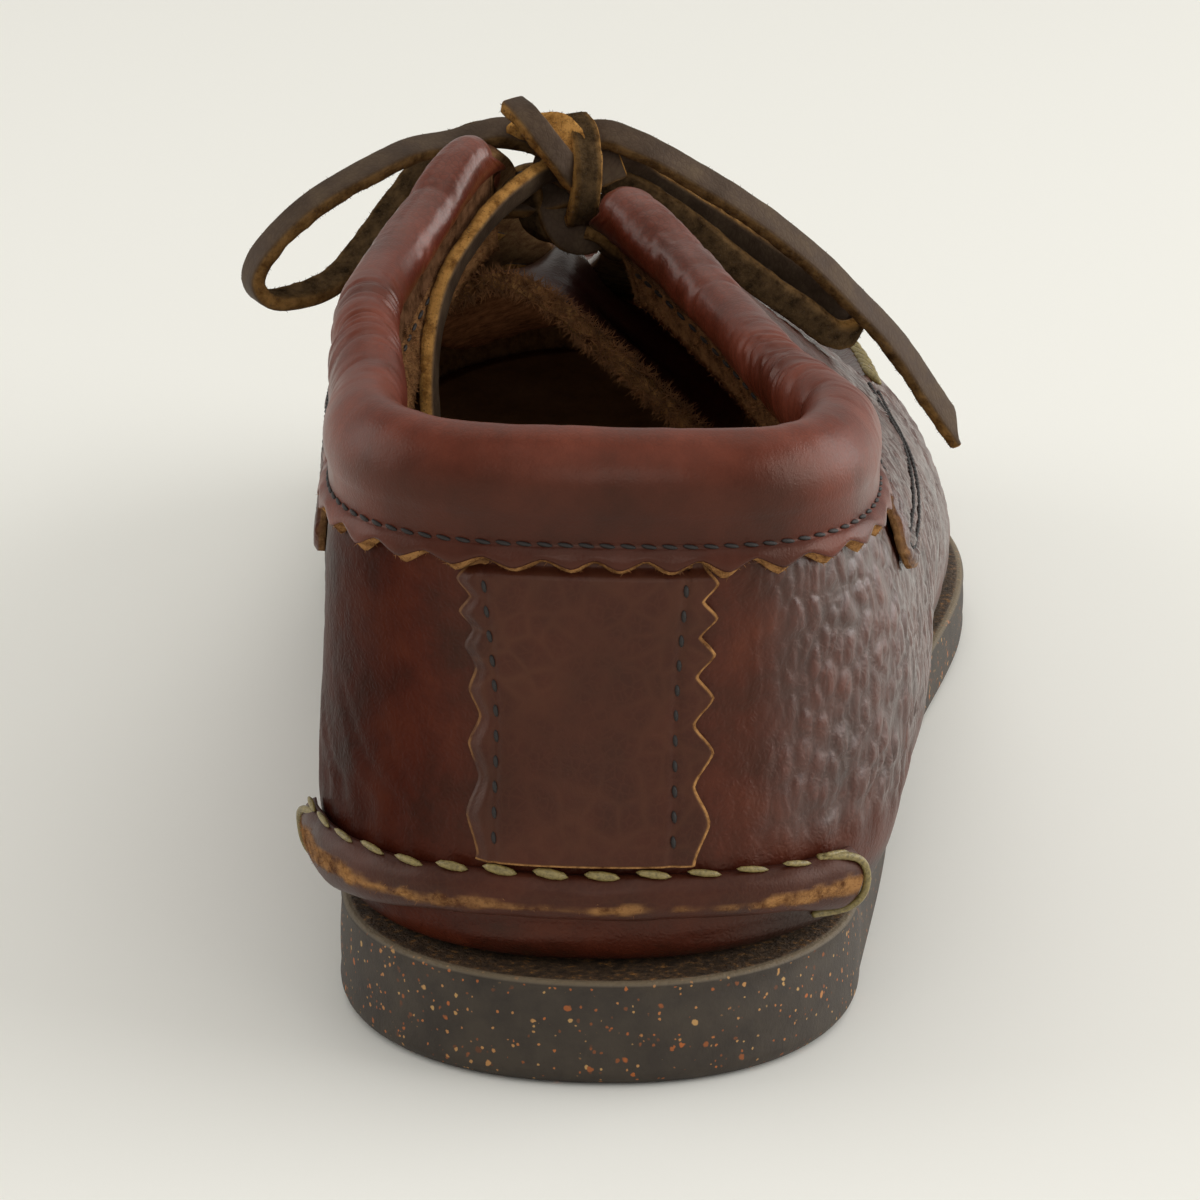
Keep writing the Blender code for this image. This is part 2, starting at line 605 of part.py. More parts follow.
# ---- tongue ------------------------------------------------------------------------------------------------------------
TONGUE_COLUMNS = ("y", "apex_x", "apex_z", "lateral_slope", "medial_slope", "lateral_reach", "medial_reach")
TONGUE_ROWS = (
    (111, -18.0, 77.0, 0.95, 0.80, 33.0, 14.0),
    (125, -16.0, 74.0, 0.86, 0.70, 32.0, 15.8),
    (140, -12.5, 69.0, 0.66, 0.62, 30.0, 19.0),
    (156, -9.5, 62.3, 0.50, 0.52, 27.0, 20.0),
    (172, -9.0, 56.6, 0.42, 0.46, 24.0, 19.0),
)
TONGUE_STATIONS = (111, 118, 125, 133, 141, 149, 157, 165, 172)
TONGUE_ACROSS = (-1, -0.72, -0.45, -0.2, 0, 0.12, 0.28, 0.46, 0.64, 0.82, 1)
TONGUE_CROWN = 6.0


def tongue_surface(y, across, lift):
    """The tongue's upper face: an arch whose apex lies to the inside, with a long outer slope."""
    rows = table(TONGUE_ROWS, TONGUE_COLUMNS)
    size = {name: float(through(rows["y"], rows[name], y)[0]) for name in TONGUE_COLUMNS[1:]}
    outer = across > 0
    reach = np.where(outer, size["lateral_reach"], size["medial_reach"]) * np.abs(across)
    slope = np.where(outer, size["lateral_slope"], size["medial_slope"])
    crown = np.hypot(TONGUE_CROWN, slope * reach)
    tilt = slope * slope * reach / crown
    flat = np.sqrt(1 + tilt * tilt)
    side = np.where(outer, 1, -1)
    x = size["apex_x"] + side * reach + lift * side * tilt / flat
    z = size["apex_z"] - crown + TONGUE_CROWN + lift / flat
    return np.stack([x, np.full_like(x, y), z], axis=-1)


def build_tongue(leather):
    across = np.array(TONGUE_ACROSS, float)
    outer = np.array([tongue_surface(y, across, 0.0) for y in TONGUE_STATIONS])
    inner = np.array([tongue_surface(y, across, -TONGUE_THICKNESS) for y in TONGUE_STATIONS])
    return sheet_object("tongue", outer, inner, leather)


# ---- laces -----------------------------------------------------------------------------------------------------------------
LACE_WIDTH, LACE_THICKNESS = 4.2, 2.0
LACE_TUBE = 3.6
EYELET_ROWS = (122.0, 134.0, 146.0)
EYELET_FROM_EDGE = 6.5
EYELET_RADIUS = 2.1
KNOT_CENTRE = (-8.0, 121.5, 89.6)
KNOT_HALF = (5.5, 4.5, 6.6)
BAR_LIFT = OVERLAY_GAP + OVERLAY + 2 * GAP + LACE_THICKNESS / 2
UNDER_BAR_LIFT = -WALL - 1.5 - LACE_THICKNESS / 2

LACE_ROUTES = {
    "lace_loop_medial": (
        (-13.6, 121.0, 93.6), (-18.6, 120.5, 95.1), (-24.4, 119.5, 93.8), (-30.9, 115.5, 93.2),
        (-35.4, 112.0, 91.7), (-40.0, 109.0, 89.6), (-44.6, 106.3, 87.0), (-48.5, 104.5, 83.6),
        (-51.5, 104.0, 79.8), (-52.4, 104.0, 76.4), (-51.0, 104.5, 74.3), (-47.9, 106.0, 73.8),
        (-43.6, 109.0, 74.5), (-39.8, 113.0, 76.8), (-36.0, 117.0, 81.5), (-31.5, 120.5, 87.5),
        (-26.5, 123.5, 92.2), (-21.0, 126.2, 93.4), (-16.0, 127.5, 92.6), (-11.8, 127.9, 91.3),
    ),
    "lace_loop_lateral": (
        (-1.8, 124.2, 90.0), (3.1, 128.2, 86.1), (8.9, 130.8, 81.9), (14.7, 133.0, 77.6),
        (20.7, 135.0, 73.2), (25.8, 136.8, 69.1), (29.7, 138.0, 66.0), (32.2, 137.6, 64.0),
        (30.9, 135.2, 63.0), (25.0, 131.0, 66.6), (20.9, 128.8, 70.0), (17.1, 127.3, 73.1),
        (12.6, 126.0, 76.8), (7.7, 125.2, 80.9), (2.8, 124.7, 84.3),
    ),
    "lace_end_lateral": (
        (-1.6, 121.9, 93.9), (2.0, 122.5, 92.3), (7.5, 124.0, 89.0), (14.5, 126.0, 84.4),
        (20.7, 128.0, 79.6), (27.0, 130.0, 73.9), (32.5, 132.5, 67.8), (37.4, 135.2, 62.0),
        (42.4, 138.2, 54.2), (47.6, 141.0, 46.2),
    ),
    "lace_end_inside": (
        (-12.8, 117.4, 89.9), (-15.0, 114.2, 89.0), (-17.8, 110.0, 87.4), (-20.9, 104.0, 84.7),
        (-23.2, 99.0, 82.0), (-24.8, 95.0, 79.1), (-25.8, 91.0, 75.8), (-26.2, 86.0, 72.0),
        (-26.0, 81.0, 67.6), (-25.4, 77.5, 62.5), (-25.0, 75.5, 56.5), (-24.8, 75.0, 50.5),
    ),
}


def eyelet(side, y, lift):
    s = side * station(y)
    return off_skin(np.array([s]), down_from_edge(s, EYELET_FROM_EDGE), lift)[0]


def punch_eyelets(objects):
    """Six round holes, cut square to the leather through the wall and the overlay on it."""
    build = bmesh.new()
    for side in (1, -1):
        for y in EYELET_ROWS:
            low, high = eyelet(side, y, -6.0), eyelet(side, y, 6.0)
            axis = (high - low) / np.linalg.norm(high - low)
            flat = np.cross(axis, (0, 1, 0))
            flat /= np.linalg.norm(flat)
            third = np.cross(axis, flat)
            rings = []
            for end in (low, high):
                turns = np.arange(10) * math.tau / 10
                circle = end + EYELET_RADIUS * (np.cos(turns)[:, None] * flat + np.sin(turns)[:, None] * third)
                rings.append([build.verts.new(point) for point in place(circle)])
            for i in range(10):
                j = (i + 1) % 10
                build.faces.new((rings[0][i], rings[0][j], rings[1][j], rings[1][i]))
            build.faces.new(rings[0][::-1])
            build.faces.new(rings[1])
    bmesh.ops.recalc_face_normals(build, faces=build.faces)
    mesh = bpy.data.meshes.new("eyelet_punch")
    build.to_mesh(mesh)
    build.free()
    punch = bpy.data.objects.new("eyelet_punch", mesh)
    bpy.context.scene.collection.objects.link(punch)
    punch.hide_render = True
    punch.display_type = "WIRE"
    for obj in objects:
        cut = obj.modifiers.new("eyelets", "BOOLEAN")
        cut.operation = "DIFFERENCE"
        cut.solver = "EXACT"
        cut.object = punch


def smooth_route(points, count):
    points = np.array(points, float)
    run = np.concatenate([[0], np.linalg.norm(np.diff(points, axis=0), axis=1).cumsum()])
    at = np.linspace(0, run[-1], count)
    return np.stack([through(run, points[:, i], at) for i in range(3)], axis=1)


def build_bar(name, route, along_edges, leather):
    """A flat lace along the route, its width turning from one facing's edge line to the other's."""
    path = smooth_route(route, 13)
    ahead = np.gradient(path, axis=0)
    ahead /= np.linalg.norm(ahead, axis=1, keepdims=True)
    share = np.linspace(0, 1, len(path))[:, None]
    wide = along_edges[0] * (1 - share) + along_edges[1] * share
    wide = wide - ahead * (wide * ahead).sum(axis=1, keepdims=True)
    wide /= np.linalg.norm(wide, axis=1, keepdims=True)
    thick = np.cross(ahead, wide)
    corners = ((-1, -1), (1, -1), (1, 1), (-1, 1))
    loops = [path + wide * a * LACE_WIDTH / 2 + thick * b * LACE_THICKNESS / 2 for a, b in corners]
    return swept_object(name, np.stack(loops, axis=1), leather)


def facing_point(side, y, down, lift):
    """A point beside a facing's edge: down is the distance below it, or beyond it where negative."""
    return edge_point(np.array([side * station(y)]), np.array([down]), np.array([lift]))[0]


def build_bars(leather):
    """The lace across the gap at each row of eyelets: under the facings at the top row, which the
    knot covers, and over them at the two rows below."""
    for name, y in zip(("lace_bar_top", "lace_bar_middle", "lace_bar_lower"), EYELET_ROWS):
        edges = [facing_point(side, y + 3, 4.0, 0.0) - facing_point(side, y - 3, 4.0, 0.0) for side in (-1, 1)]
        if y == EYELET_ROWS[0]:
            stops = ((EYELET_FROM_EDGE, UNDER_BAR_LIFT), (1.0, UNDER_BAR_LIFT))
            under = KNOT_CENTRE[2] - KNOT_HALF[2] - LACE_THICKNESS
            middle = [np.array([KNOT_CENTRE[0] - KNOT_HALF[0], y, under]), np.array([KNOT_CENTRE[0], y, under - 1])]
        else:
            stops = ((EYELET_FROM_EDGE, BAR_LIFT), (1.5, BAR_LIFT), (-2.5, BAR_LIFT - 0.6))
            middle = []
        route = [facing_point(-1, y, *stop) for stop in stops] + middle
        route += [facing_point(1, y, *stop) for stop in reversed(stops)]
        build_bar(name, route, edges, leather)


def build_knot(leather):
    build = bmesh.new()
    bmesh.ops.create_uvsphere(build, u_segments=12, v_segments=8, radius=1.0)
    for corner in build.verts:
        corner.co = place(np.array(corner.co) * KNOT_HALF + KNOT_CENTRE)
    mesh = bpy.data.meshes.new("lace_knot")
    build.to_mesh(mesh)
    build.free()
    mesh.shade_smooth()
    return add_object("lace_knot", mesh, leather)


def build_cord(name, route, leather):
    path = place(smooth_route(route, max(8, round(len(route) * 1.4))))
    curve = bpy.data.curves.new(name, "CURVE")
    curve.dimensions = "3D"
    curve.bevel_depth = LACE_TUBE / 2 * MM
    curve.bevel_resolution = 2
    curve.use_fill_caps = True
    spline = curve.splines.new("POLY")
    spline.points.add(len(path) - 1)
    for point, corner in zip(spline.points, path):
        point.co = (*corner, 1)
    return add_object(name, curve, leather)


def main():
    for obj in list(bpy.data.objects):
        bpy.data.objects.remove(obj, do_unlink=True)
    leather = finish("red brown leather", (0.115, 0.032, 0.020), 0.42)
    smooth = finish("smooth red brown leather", (0.150, 0.045, 0.028), 0.38)
    raw = finish("raw tan leather edge", (0.260, 0.110, 0.045), 0.85)
    lining = finish("natural leather", (0.180, 0.090, 0.050), 0.75)
    thong = finish("dark brown lace leather", (0.045, 0.030, 0.022), 0.60)
    build_outsole()
    upper = build_upper(leather)
    eyestays = [build_eyestay("eyestay_lateral", 1, leather), build_eyestay("eyestay_medial", -1, leather)]
    punch_eyelets([upper] + eyestays)
    build_collar(smooth)
    build_heel_panel(leather)
    build_heel_seam(raw)
    build_insole(lining)
    build_tongue(leather)
    build_bars(thong)
    build_knot(thong)
    for name, route in LACE_ROUTES.items():
        build_cord(name, route, thong)


if __name__ == "__main__":
    main()
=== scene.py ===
"""The looks of a hand-sewn lace-up derby shoe, moccasin built: one right shoe, size EU 42.

Lengths are millimetres in the last's own frame, as a shoemaker would give them: y runs from the back of
the heel to the toe, x is positive towards the little toe, z is the height over the floor. Last.place()
turns such points into the model's frame, in metres.
"""

from __future__ import annotations

import itertools
import logging
import math
from collections.abc import Callable, Mapping, Sequence
from dataclasses import dataclass, field
from enum import Enum
from typing import Any

import bmesh
import bpy
import numpy as np
from mathutils import Matrix, Vector

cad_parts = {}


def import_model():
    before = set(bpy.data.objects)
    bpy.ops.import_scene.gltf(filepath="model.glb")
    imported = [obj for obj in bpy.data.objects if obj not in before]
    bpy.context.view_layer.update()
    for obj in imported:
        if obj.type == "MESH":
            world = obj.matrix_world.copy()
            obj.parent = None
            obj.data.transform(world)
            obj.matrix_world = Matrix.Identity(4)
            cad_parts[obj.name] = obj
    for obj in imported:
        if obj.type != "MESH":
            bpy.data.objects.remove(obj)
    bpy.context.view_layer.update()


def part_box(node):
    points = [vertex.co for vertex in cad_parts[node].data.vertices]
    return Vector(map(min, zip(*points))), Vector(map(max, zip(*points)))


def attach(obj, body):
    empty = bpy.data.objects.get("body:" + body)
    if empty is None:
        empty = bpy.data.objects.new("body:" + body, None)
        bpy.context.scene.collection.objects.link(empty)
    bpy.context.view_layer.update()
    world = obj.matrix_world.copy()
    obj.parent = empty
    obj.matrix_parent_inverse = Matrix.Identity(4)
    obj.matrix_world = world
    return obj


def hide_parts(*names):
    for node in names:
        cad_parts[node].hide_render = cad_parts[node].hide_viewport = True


LOG = logging.getLogger("derby")
MM = 0.001
Array = np.ndarray
Row = tuple[float, ...]
Socket = bpy.types.NodeSocket
Pieces = list[bpy.types.Object]


class Side(Enum):
    """The two sides of the shoe, with the sign of x on each."""

    LATERAL = 1
    MEDIAL = -1


# ---- number helpers ------------------------------------------------------------------------------


def smooth(low: float, high: float, value: Array | float) -> Array:
    """A soft step from 0 at low to 1 at high."""
    share = np.clip((np.asarray(value, float) - low) / (high - low), 0, 1)
    return share * share * (3 - 2 * share)


def hill(middle: float, half: float, value: Array | float) -> Array:
    """A soft bump, 1 at the middle and 0 beyond half to each side."""
    return smooth(1, 0, np.abs(np.asarray(value, float) - middle) / half)


def lattice(cell: Array, seed: int) -> Array:
    """One repeatable value from 0 to 1 for each whole-numbered cell.

    Args:
        cell: whole numbers, in rows of three.
        seed: picks one of many such fields.

    Returns:
        The values, one a row.
    """
    mixed = cell[..., 0] * 374761393 + cell[..., 1] * 668265263 + cell[..., 2] * 1274126177 + seed * 69069
    mixed = (mixed ^ (mixed >> 13)) & 0xFFFFFFFF
    mixed = (mixed * 1103515245 + 12345) & 0xFFFFFFFF
    mixed = (mixed ^ (mixed >> 15)) * 2246822519 & 0xFFFFFFFF
    return ((mixed ^ (mixed >> 13)) & 0xFFFFFF) / float(0xFFFFFF)


def noise(points: Array, size: float | Row, seed: int) -> Array:
    """Smooth noise from -1 to 1.

    Args:
        points: places in millimetres, in rows of three.
        size: how long its lumps are, along x, y and z.
        seed: picks the field.

    Returns:
        One value a point.
    """
    scaled = np.asarray(points, float) / np.asarray(size, float)
    base = np.floor(scaled).astype(np.int64)
    share = scaled - base
    share = share * share * (3 - 2 * share)
    total = np.zeros(scaled.shape[:-1])
    for corner in itertools.product((0, 1), repeat=3):
        weight = np.prod(np.where(np.array(corner) == 1, share, 1 - share), axis=-1)
        total += weight * lattice(base + np.array(corner), seed)
    return 2 * total - 1


def cell_gap(points: Array, size: float | Row, seed: int) -> Array:
    """How far each point lies from the border between two cells of a broken-up pattern.

    Args:
        points: places in millimetres, in rows of three.
        size: the cells' size along x, y and z.
        seed: picks the pattern.

    Returns:
        The distance in cell widths, 0 on a border.
    """
    scaled = np.asarray(points, float) / np.asarray(size, float)
    base = np.floor(scaled).astype(np.int64)
    nearest = np.full(scaled.shape[:-1], 9.0)
    second = nearest.copy()
    for corner in itertools.product((-1, 0, 1), repeat=3):
        cell = base + np.array(corner)
        centre = np.stack([cell[..., k] + 0.12 + 0.76 * lattice(cell, seed + 11 * k) for k in range(3)],
                          axis=-1)
        away = np.linalg.norm(scaled - centre, axis=-1)
        second = np.minimum(second, np.maximum(nearest, away))
        nearest = np.minimum(nearest, away)
    return second - nearest


@dataclass(frozen=True)
class Crease:
    """One soft fold in the leather, along a listed route."""

    route: tuple[Row, ...]  # places (s, v) on the last, from one end to the other
    width: float
    depth: float

    def height(self, last: Last, points: Array) -> Array:
        """The fold's height at each point: a trough with a low ridge to each side.

        Args:
            last: the last that the fold lies on.
            points: places in millimetres, in rows of three.

        Returns:
            One height a point.
        """
        route = np.array(self.route, float)
        line = curve(last.skin(route[:, 0], route[:, 1]), 24)
        middle = line.mean(axis=0)
        reach = np.linalg.norm(line - middle, axis=1).max() + 5 * self.width
        near = np.linalg.norm(points - middle, axis=-1) < reach
        height = np.zeros(points.shape[:-1])
        away = np.linalg.norm(points[near][:, None] - line[None], axis=2)
        closest = away.argmin(axis=1)
        share = closest / (len(line) - 1)
        fade = np.sin(math.pi * np.clip(0.04 + 0.92 * share, 0, 1)) ** 0.6
        away = away.min(axis=1) / self.width
        height[near] = fade * self.depth * (0.45 * np.exp(-((away - 2.1) ** 2)) - np.exp(-(away**2)))
        return height


def unit(vectors: Array) -> Array:
    """The vectors at length one."""
    return vectors / np.maximum(np.linalg.norm(vectors, axis=-1, keepdims=True), 1e-9)


def run_of(points: Array) -> Array:
    """The distance along a line of points, from its first."""
    return np.concatenate([[0.0], np.linalg.norm(np.diff(points, axis=0), axis=1).cumsum()])


def read(line: Array, run: Array, at: Array) -> Array:
    """The rows of a line whose points stand at run, read at the places given."""
    return np.stack([np.interp(at, run, column) for column in line.T], axis=1)


def curve(points: Array, count: int) -> Array:
    """A smooth line of count points through a few."""
    run = run_of(points)
    fine = np.linspace(0, run[-1], count)
    return np.stack([through(run, column, fine) for column in points.T], axis=1)


def on_line(run: Array) -> Array:
    """Places on a straight line, where noise is read along a run."""
    return np.stack([run, 0 * run, 0 * run], axis=-1)


def grooves(points: Array, size: float | Row, seed: int, width: float) -> Array:
    """How deep each point lies in the grooves of a broken-up pattern, 1 in their middles."""
    return np.exp(-((cell_gap(points, size, seed) / width) ** 2))


def warped(points: Array, amount: float, size: float, first: int) -> Array:
    """The points pushed about by noise, with fields from the first seed on."""
    return points + amount * np.stack([noise(points, size, first + k) for k in range(3)], axis=-1)


def wave(run: Array, pitch: float, seed: int) -> Array:
    """The cut of pinking shears: a rounded zigzag from -1 to 1 along a run in millimetres."""
    places = on_line(run)
    turn = run / pitch + 0.13 * noise(places, 17.0, seed)
    tooth = 1 - 4 * np.abs(turn - np.floor(turn) - 0.5)
    size = 0.9 + 0.25 * noise(places, 9.0, seed + 1)
    return (0.55 * tooth + 0.45 * np.sin(tooth * math.pi / 2)) * size


# ---- the last ------------------------------------------------------------------------------------


def clamped_basis(knots: Sequence[float], at: Array) -> Array:
    """The rows that turn values at knots, and the two end slopes, into a smooth curve's values.

    Args:
        knots: where the values stand, rising.
        at: where the curve is read.

    Returns:
        One row for each place, with a column for each knot and two for the slopes.
    """
    knot = np.asarray(knots, float)
    places = np.atleast_1d(at).astype(float)
    count = len(knot)
    step = np.diff(knot)
    system = np.zeros((count, count))
    right = np.zeros((count, count + 2))
    system[0, 0] = system[-1, -1] = 1
    right[0, count] = right[-1, count + 1] = 1
    for i in range(1, count - 1):
        a, b = 1 / step[i - 1], 1 / step[i]
        system[i, i - 1:i + 2] = a, 2 * (a + b), b
        right[i, i - 1:i + 2] = -3 * a * a, 3 * (a * a - b * b), 3 * b * b
    slopes = np.linalg.solve(system, right)
    span = np.clip(np.searchsorted(knot, places, side="right") - 1, 0, count - 2)
    width = step[span]
    t = (places - knot[span]) / width
    values = np.zeros((len(places), count + 2))
    rows = np.arange(len(places))
    values[rows, span] += 2 * t**3 - 3 * t**2 + 1
    values[rows, span + 1] += -2 * t**3 + 3 * t**2
    values += ((t**3 - 2 * t**2 + t) * width)[:, None] * slopes[span]
    values += ((t**3 - t**2) * width)[:, None] * slopes[span + 1]
    return values


def through(knots: Sequence[float] | Array, values: Sequence[float] | Array, at: Array) -> Array:
    """A smooth curve through values at knots, read at the places given."""
    knot, value = np.asarray(knots, float), np.asarray(values, float)
    first = (value[1] - value[0]) / (knot[1] - knot[0])
    last = (value[-1] - value[-2]) / (knot[-1] - knot[-2])
    return clamped_basis(knot, at) @ np.concatenate([value, [first, last]])


def named(rows: Sequence[Row], columns: Sequence[str]) -> dict[str, Array]:
    """A table's columns by name."""
    return {name: np.array([row[i] for row in rows], float) for i, name in enumerate(columns)}


@dataclass
class Last:
    """The form that the shoe is made over, and the places its pieces take on it.

    A place on the upper is (s, v). s is signed: its sign is the side, and its size runs 0 to 1 round the
    heel, 1 to 2 along the side and 2 to 3 round the toe. v runs from the middle of the bottom, at 0, to
    the collar edge or the ridge, at 1.
    """

    seat: tuple[Array, Array]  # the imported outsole's lowest and highest corners, in metres
    sole_length: float = 292.0
    heel_thickness: float = 14.0
    ball_thickness: float = 10.0
    arch_rise: float = 3.0
    toe_spring: float = 9.0
    spring_y: float = 214.0
    gap: float = 0.3
    heel_y: float = 38.0
    toe_y: float = 248.0
    heel_x: float = -1.5
    toe_x: float = -10.0
    tip_y: float = 115.0
    throat_y: float = 158.0
    heel_square: float = 2.2
    collar_square: float = 2.9
    toe_square: Row = (1.7, 2.0)  # on the outer and the inner side
    knots: Row = (0.20, 0.33, 0.47, 0.70, 1.0)  # v of foot, low, belly, seam, top
    section: tuple[str, ...] = (
        "foot_x", "low_x", "low_z", "belly_x", "belly_z", "seam_x", "seam_z", "top_x", "top_z",
    )
    heel_end: Row = (29.0, 37.0, 25.0, 35.4, 42.0, 34.4, 60.0, 33.2, 77.4)
    toe_end: Row = (34.0, 38.6, 24.5, 37.2, 31.5, 21.5, 40.5, 0.0, 44.0)
    sole_rows: tuple[Row, ...] = (  # y, lateral, medial
        (38, 34.0, 34.0), (75, 37.2, 32.3), (108, 39.3, 29.0), (142, 43.5, 32.0),
        (180, 49.8, 46.9), (212, 49.0, 52.9), (248, 39.0, 51.5),
    )
    lateral_rows: tuple[Row, ...] = (  # y, then the section's columns
        (38, 27.0, 38.2, 24.0, 39.5, 42.0, 36.2, 61.0, 30.8, 76.0),
        (62, 28.0, 40.7, 24.0, 41.2, 41.0, 37.0, 60.0, 22.3, 77.3),
        (88, 31.0, 42.0, 22.5, 43.0, 38.5, 36.5, 58.0, 12.0, 81.3),
        (115, 34.5, 42.7, 20.5, 44.3, 35.0, 35.2, 54.8, -2.3, 86.8),
        (138, 38.0, 43.9, 18.5, 45.2, 31.0, 34.2, 51.0, -4.5, 76.0),
        (158, 41.7, 45.9, 17.0, 46.0, 28.2, 33.5, 47.8, -9.0, 66.5),
        (185, 44.5, 47.8, 16.0, 45.5, 25.5, 32.8, 43.0, -9.0, 56.0),
        (212, 42.5, 46.3, 16.0, 44.5, 25.0, 30.0, 40.5, -9.5, 49.5),
        (248, 32.0, 36.3, 18.5, 35.0, 27.0, 21.0, 39.5, -10.0, 44.0),
    )
    medial_rows: tuple[Row, ...] = (
        (38, 28.5, 36.3, 24.0, 36.5, 42.0, 35.5, 61.0, 31.6, 77.3),
        (62, 27.5, 35.6, 25.0, 37.5, 43.0, 37.0, 62.0, 34.0, 81.8),
        (88, 25.5, 35.0, 26.0, 39.0, 44.0, 38.5, 64.0, 31.0, 86.0),
        (115, 26.0, 36.5, 25.0, 42.0, 41.0, 40.0, 61.0, 20.6, 94.3),
        (138, 29.5, 40.0, 22.0, 45.5, 36.0, 41.0, 55.0, 15.5, 79.5),
        (158, 36.0, 45.2, 19.1, 48.4, 31.7, 41.0, 49.4, 9.0, 66.5),
        (185, 43.5, 49.8, 17.0, 50.2, 27.5, 41.0, 44.5, 9.0, 56.0),
        (212, 46.8, 50.8, 16.0, 50.3, 26.0, 40.0, 41.0, 9.5, 49.5),
        (248, 45.0, 49.0, 18.5, 48.0, 27.0, 35.0, 39.5, 10.0, 44.0),
    )
    ridge_rows: tuple[Row, ...] = (  # y, x, z
        (158, -9.0, 66.5), (172, -9.0, 61.0), (190, -9.0, 54.7), (214, -9.5, 49.0), (248, -10.0, 44.0),
    )

    def __post_init__(self) -> None:
        """Reads the tables, and finds the frame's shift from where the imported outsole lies."""
        self.sole = named(self.sole_rows, ("y", "lateral", "medial"))
        self.rows = {1: named(self.lateral_rows, ("y", *self.section)),
                     -1: named(self.medial_rows, ("y", *self.section))}
        self.ridge = named(self.ridge_rows, ("y", "x", "z"))
        widest = through(self.sole["y"], self.sole["medial"], np.linspace(self.heel_y, self.toe_y, 400)).max()
        low = np.array(self.seat[0], float) / MM
        self.shift = np.array([low[0] + widest, low[1], 0.0])

    def place(self, points: Array) -> Array:
        """Points of the last's frame, in millimetres, as points of the model's frame, in metres."""
        return (np.asarray(points, float) + self.shift) * MM

    def spring(self, y: Array) -> Array:
        """How far the sole's toe end lifts off the floor at y."""
        return self.toe_spring * np.clip((y - self.spring_y) / (self.sole_length - self.spring_y), 0, 1) ** 1.8

    def sole_top(self, y: Array | float) -> Array:
        """The height of the sole's upper face at y."""
        y = np.asarray(y, float)
        drop = (self.ball_thickness - self.heel_thickness) * smooth(70, 150, y)
        return self.heel_thickness + drop + self.spring(y)

    def sole_bottom(self, y: Array | float) -> Array:
        """The height of the sole's underside at y, hollowed at the waist."""
        y = np.asarray(y, float)
        return self.arch_rise * smooth(82, 90, y) * (1 - smooth(112, 138, y)) + self.spring(y)

    def spine_x(self, y: Array) -> Array:
        """The x of the line that the half sections share."""
        return self.heel_x + (self.toe_x - self.heel_x) * smooth(40, 170, y)

    def station(self, y: Array | float) -> Array:
        """The s of a place along the side, y from the back of the heel."""
        return 1 + (np.asarray(y, float) - self.heel_y) / (self.toe_y - self.heel_y)

    def along(self, s: Array | float) -> Array:
        """The y of a place along the side, carried on past both ends."""
        return self.heel_y + (self.toe_y - self.heel_y) * (np.abs(s) - 1)

    def beside(self, s: Array) -> Array:
        """The y of the nearest place along the side."""
        return self.heel_y + (self.toe_y - self.heel_y) * np.clip(np.abs(s) - 1, 0, 1)

    def stretch(self, s: Array, v: Array) -> Array:
        """Millimetres up the section for each step of v."""
        return np.linalg.norm(self.skin(s, v + 0.02) - self.skin(s, v - 0.02), axis=1) / 0.04

    def profile(self, keys: Mapping[str, Array], v: Array, foot_z: Array, centre: Array, ridge: Array) -> Row:
        """Reach from the spine, and height, at v of half sections given by their named keys."""
        foot = self.knots[0]
        reach = np.stack([keys[name] for name in ("foot_x", "low_x", "belly_x", "seam_x", "top_x")])
        height = np.stack([foot_z] + [keys[name] for name in ("low_z", "belly_z", "seam_z", "top_z")])
        first = 1.9 * (reach[1] - reach[0]) / (self.knots[1] - foot)
        last = 1.15 * (reach[-1] - reach[-2]) / (1 - self.knots[-2])
        rise = 1.15 * (height[-1] - height[-2]) / (1 - self.knots[-2]) * (1 - ridge)
        basis = clamped_basis(self.knots, np.maximum(v, foot))
        wall_x = np.einsum("nk,kn->n", basis, np.vstack([reach, first, last]))
        wall_z = np.einsum("nk,kn->n", basis, np.vstack([height, 0 * first, rise]))
        flat = v < foot
        under = centre + (reach[0] - centre) * np.clip(v / foot, 0, 1)
        return np.where(flat, under, wall_x), np.where(flat, foot_z, wall_z)

    def skin(self, s: Array | float, v: Array | float) -> Array:
        """Points of the upper's outer face.

        Args:
            s: places round the shoe; past the toe's middle they carry on along the other side.
            v: places up the section.

        Returns:
            One point for each place.
        """
        s, v = np.broadcast_arrays(np.asarray(s, float), np.asarray(v, float))
        shape = s.shape
        s, v = (s.ravel() + 3) % 6 - 3, v.ravel()
        points = np.zeros((len(s), 3))
        for side in (1, -1):
            mine = (s >= 0) if side == 1 else (s < 0)
            if mine.any():
                points[mine] = self.half_skin(side, np.abs(s[mine]), v[mine])
        return points.reshape(*shape, 3)

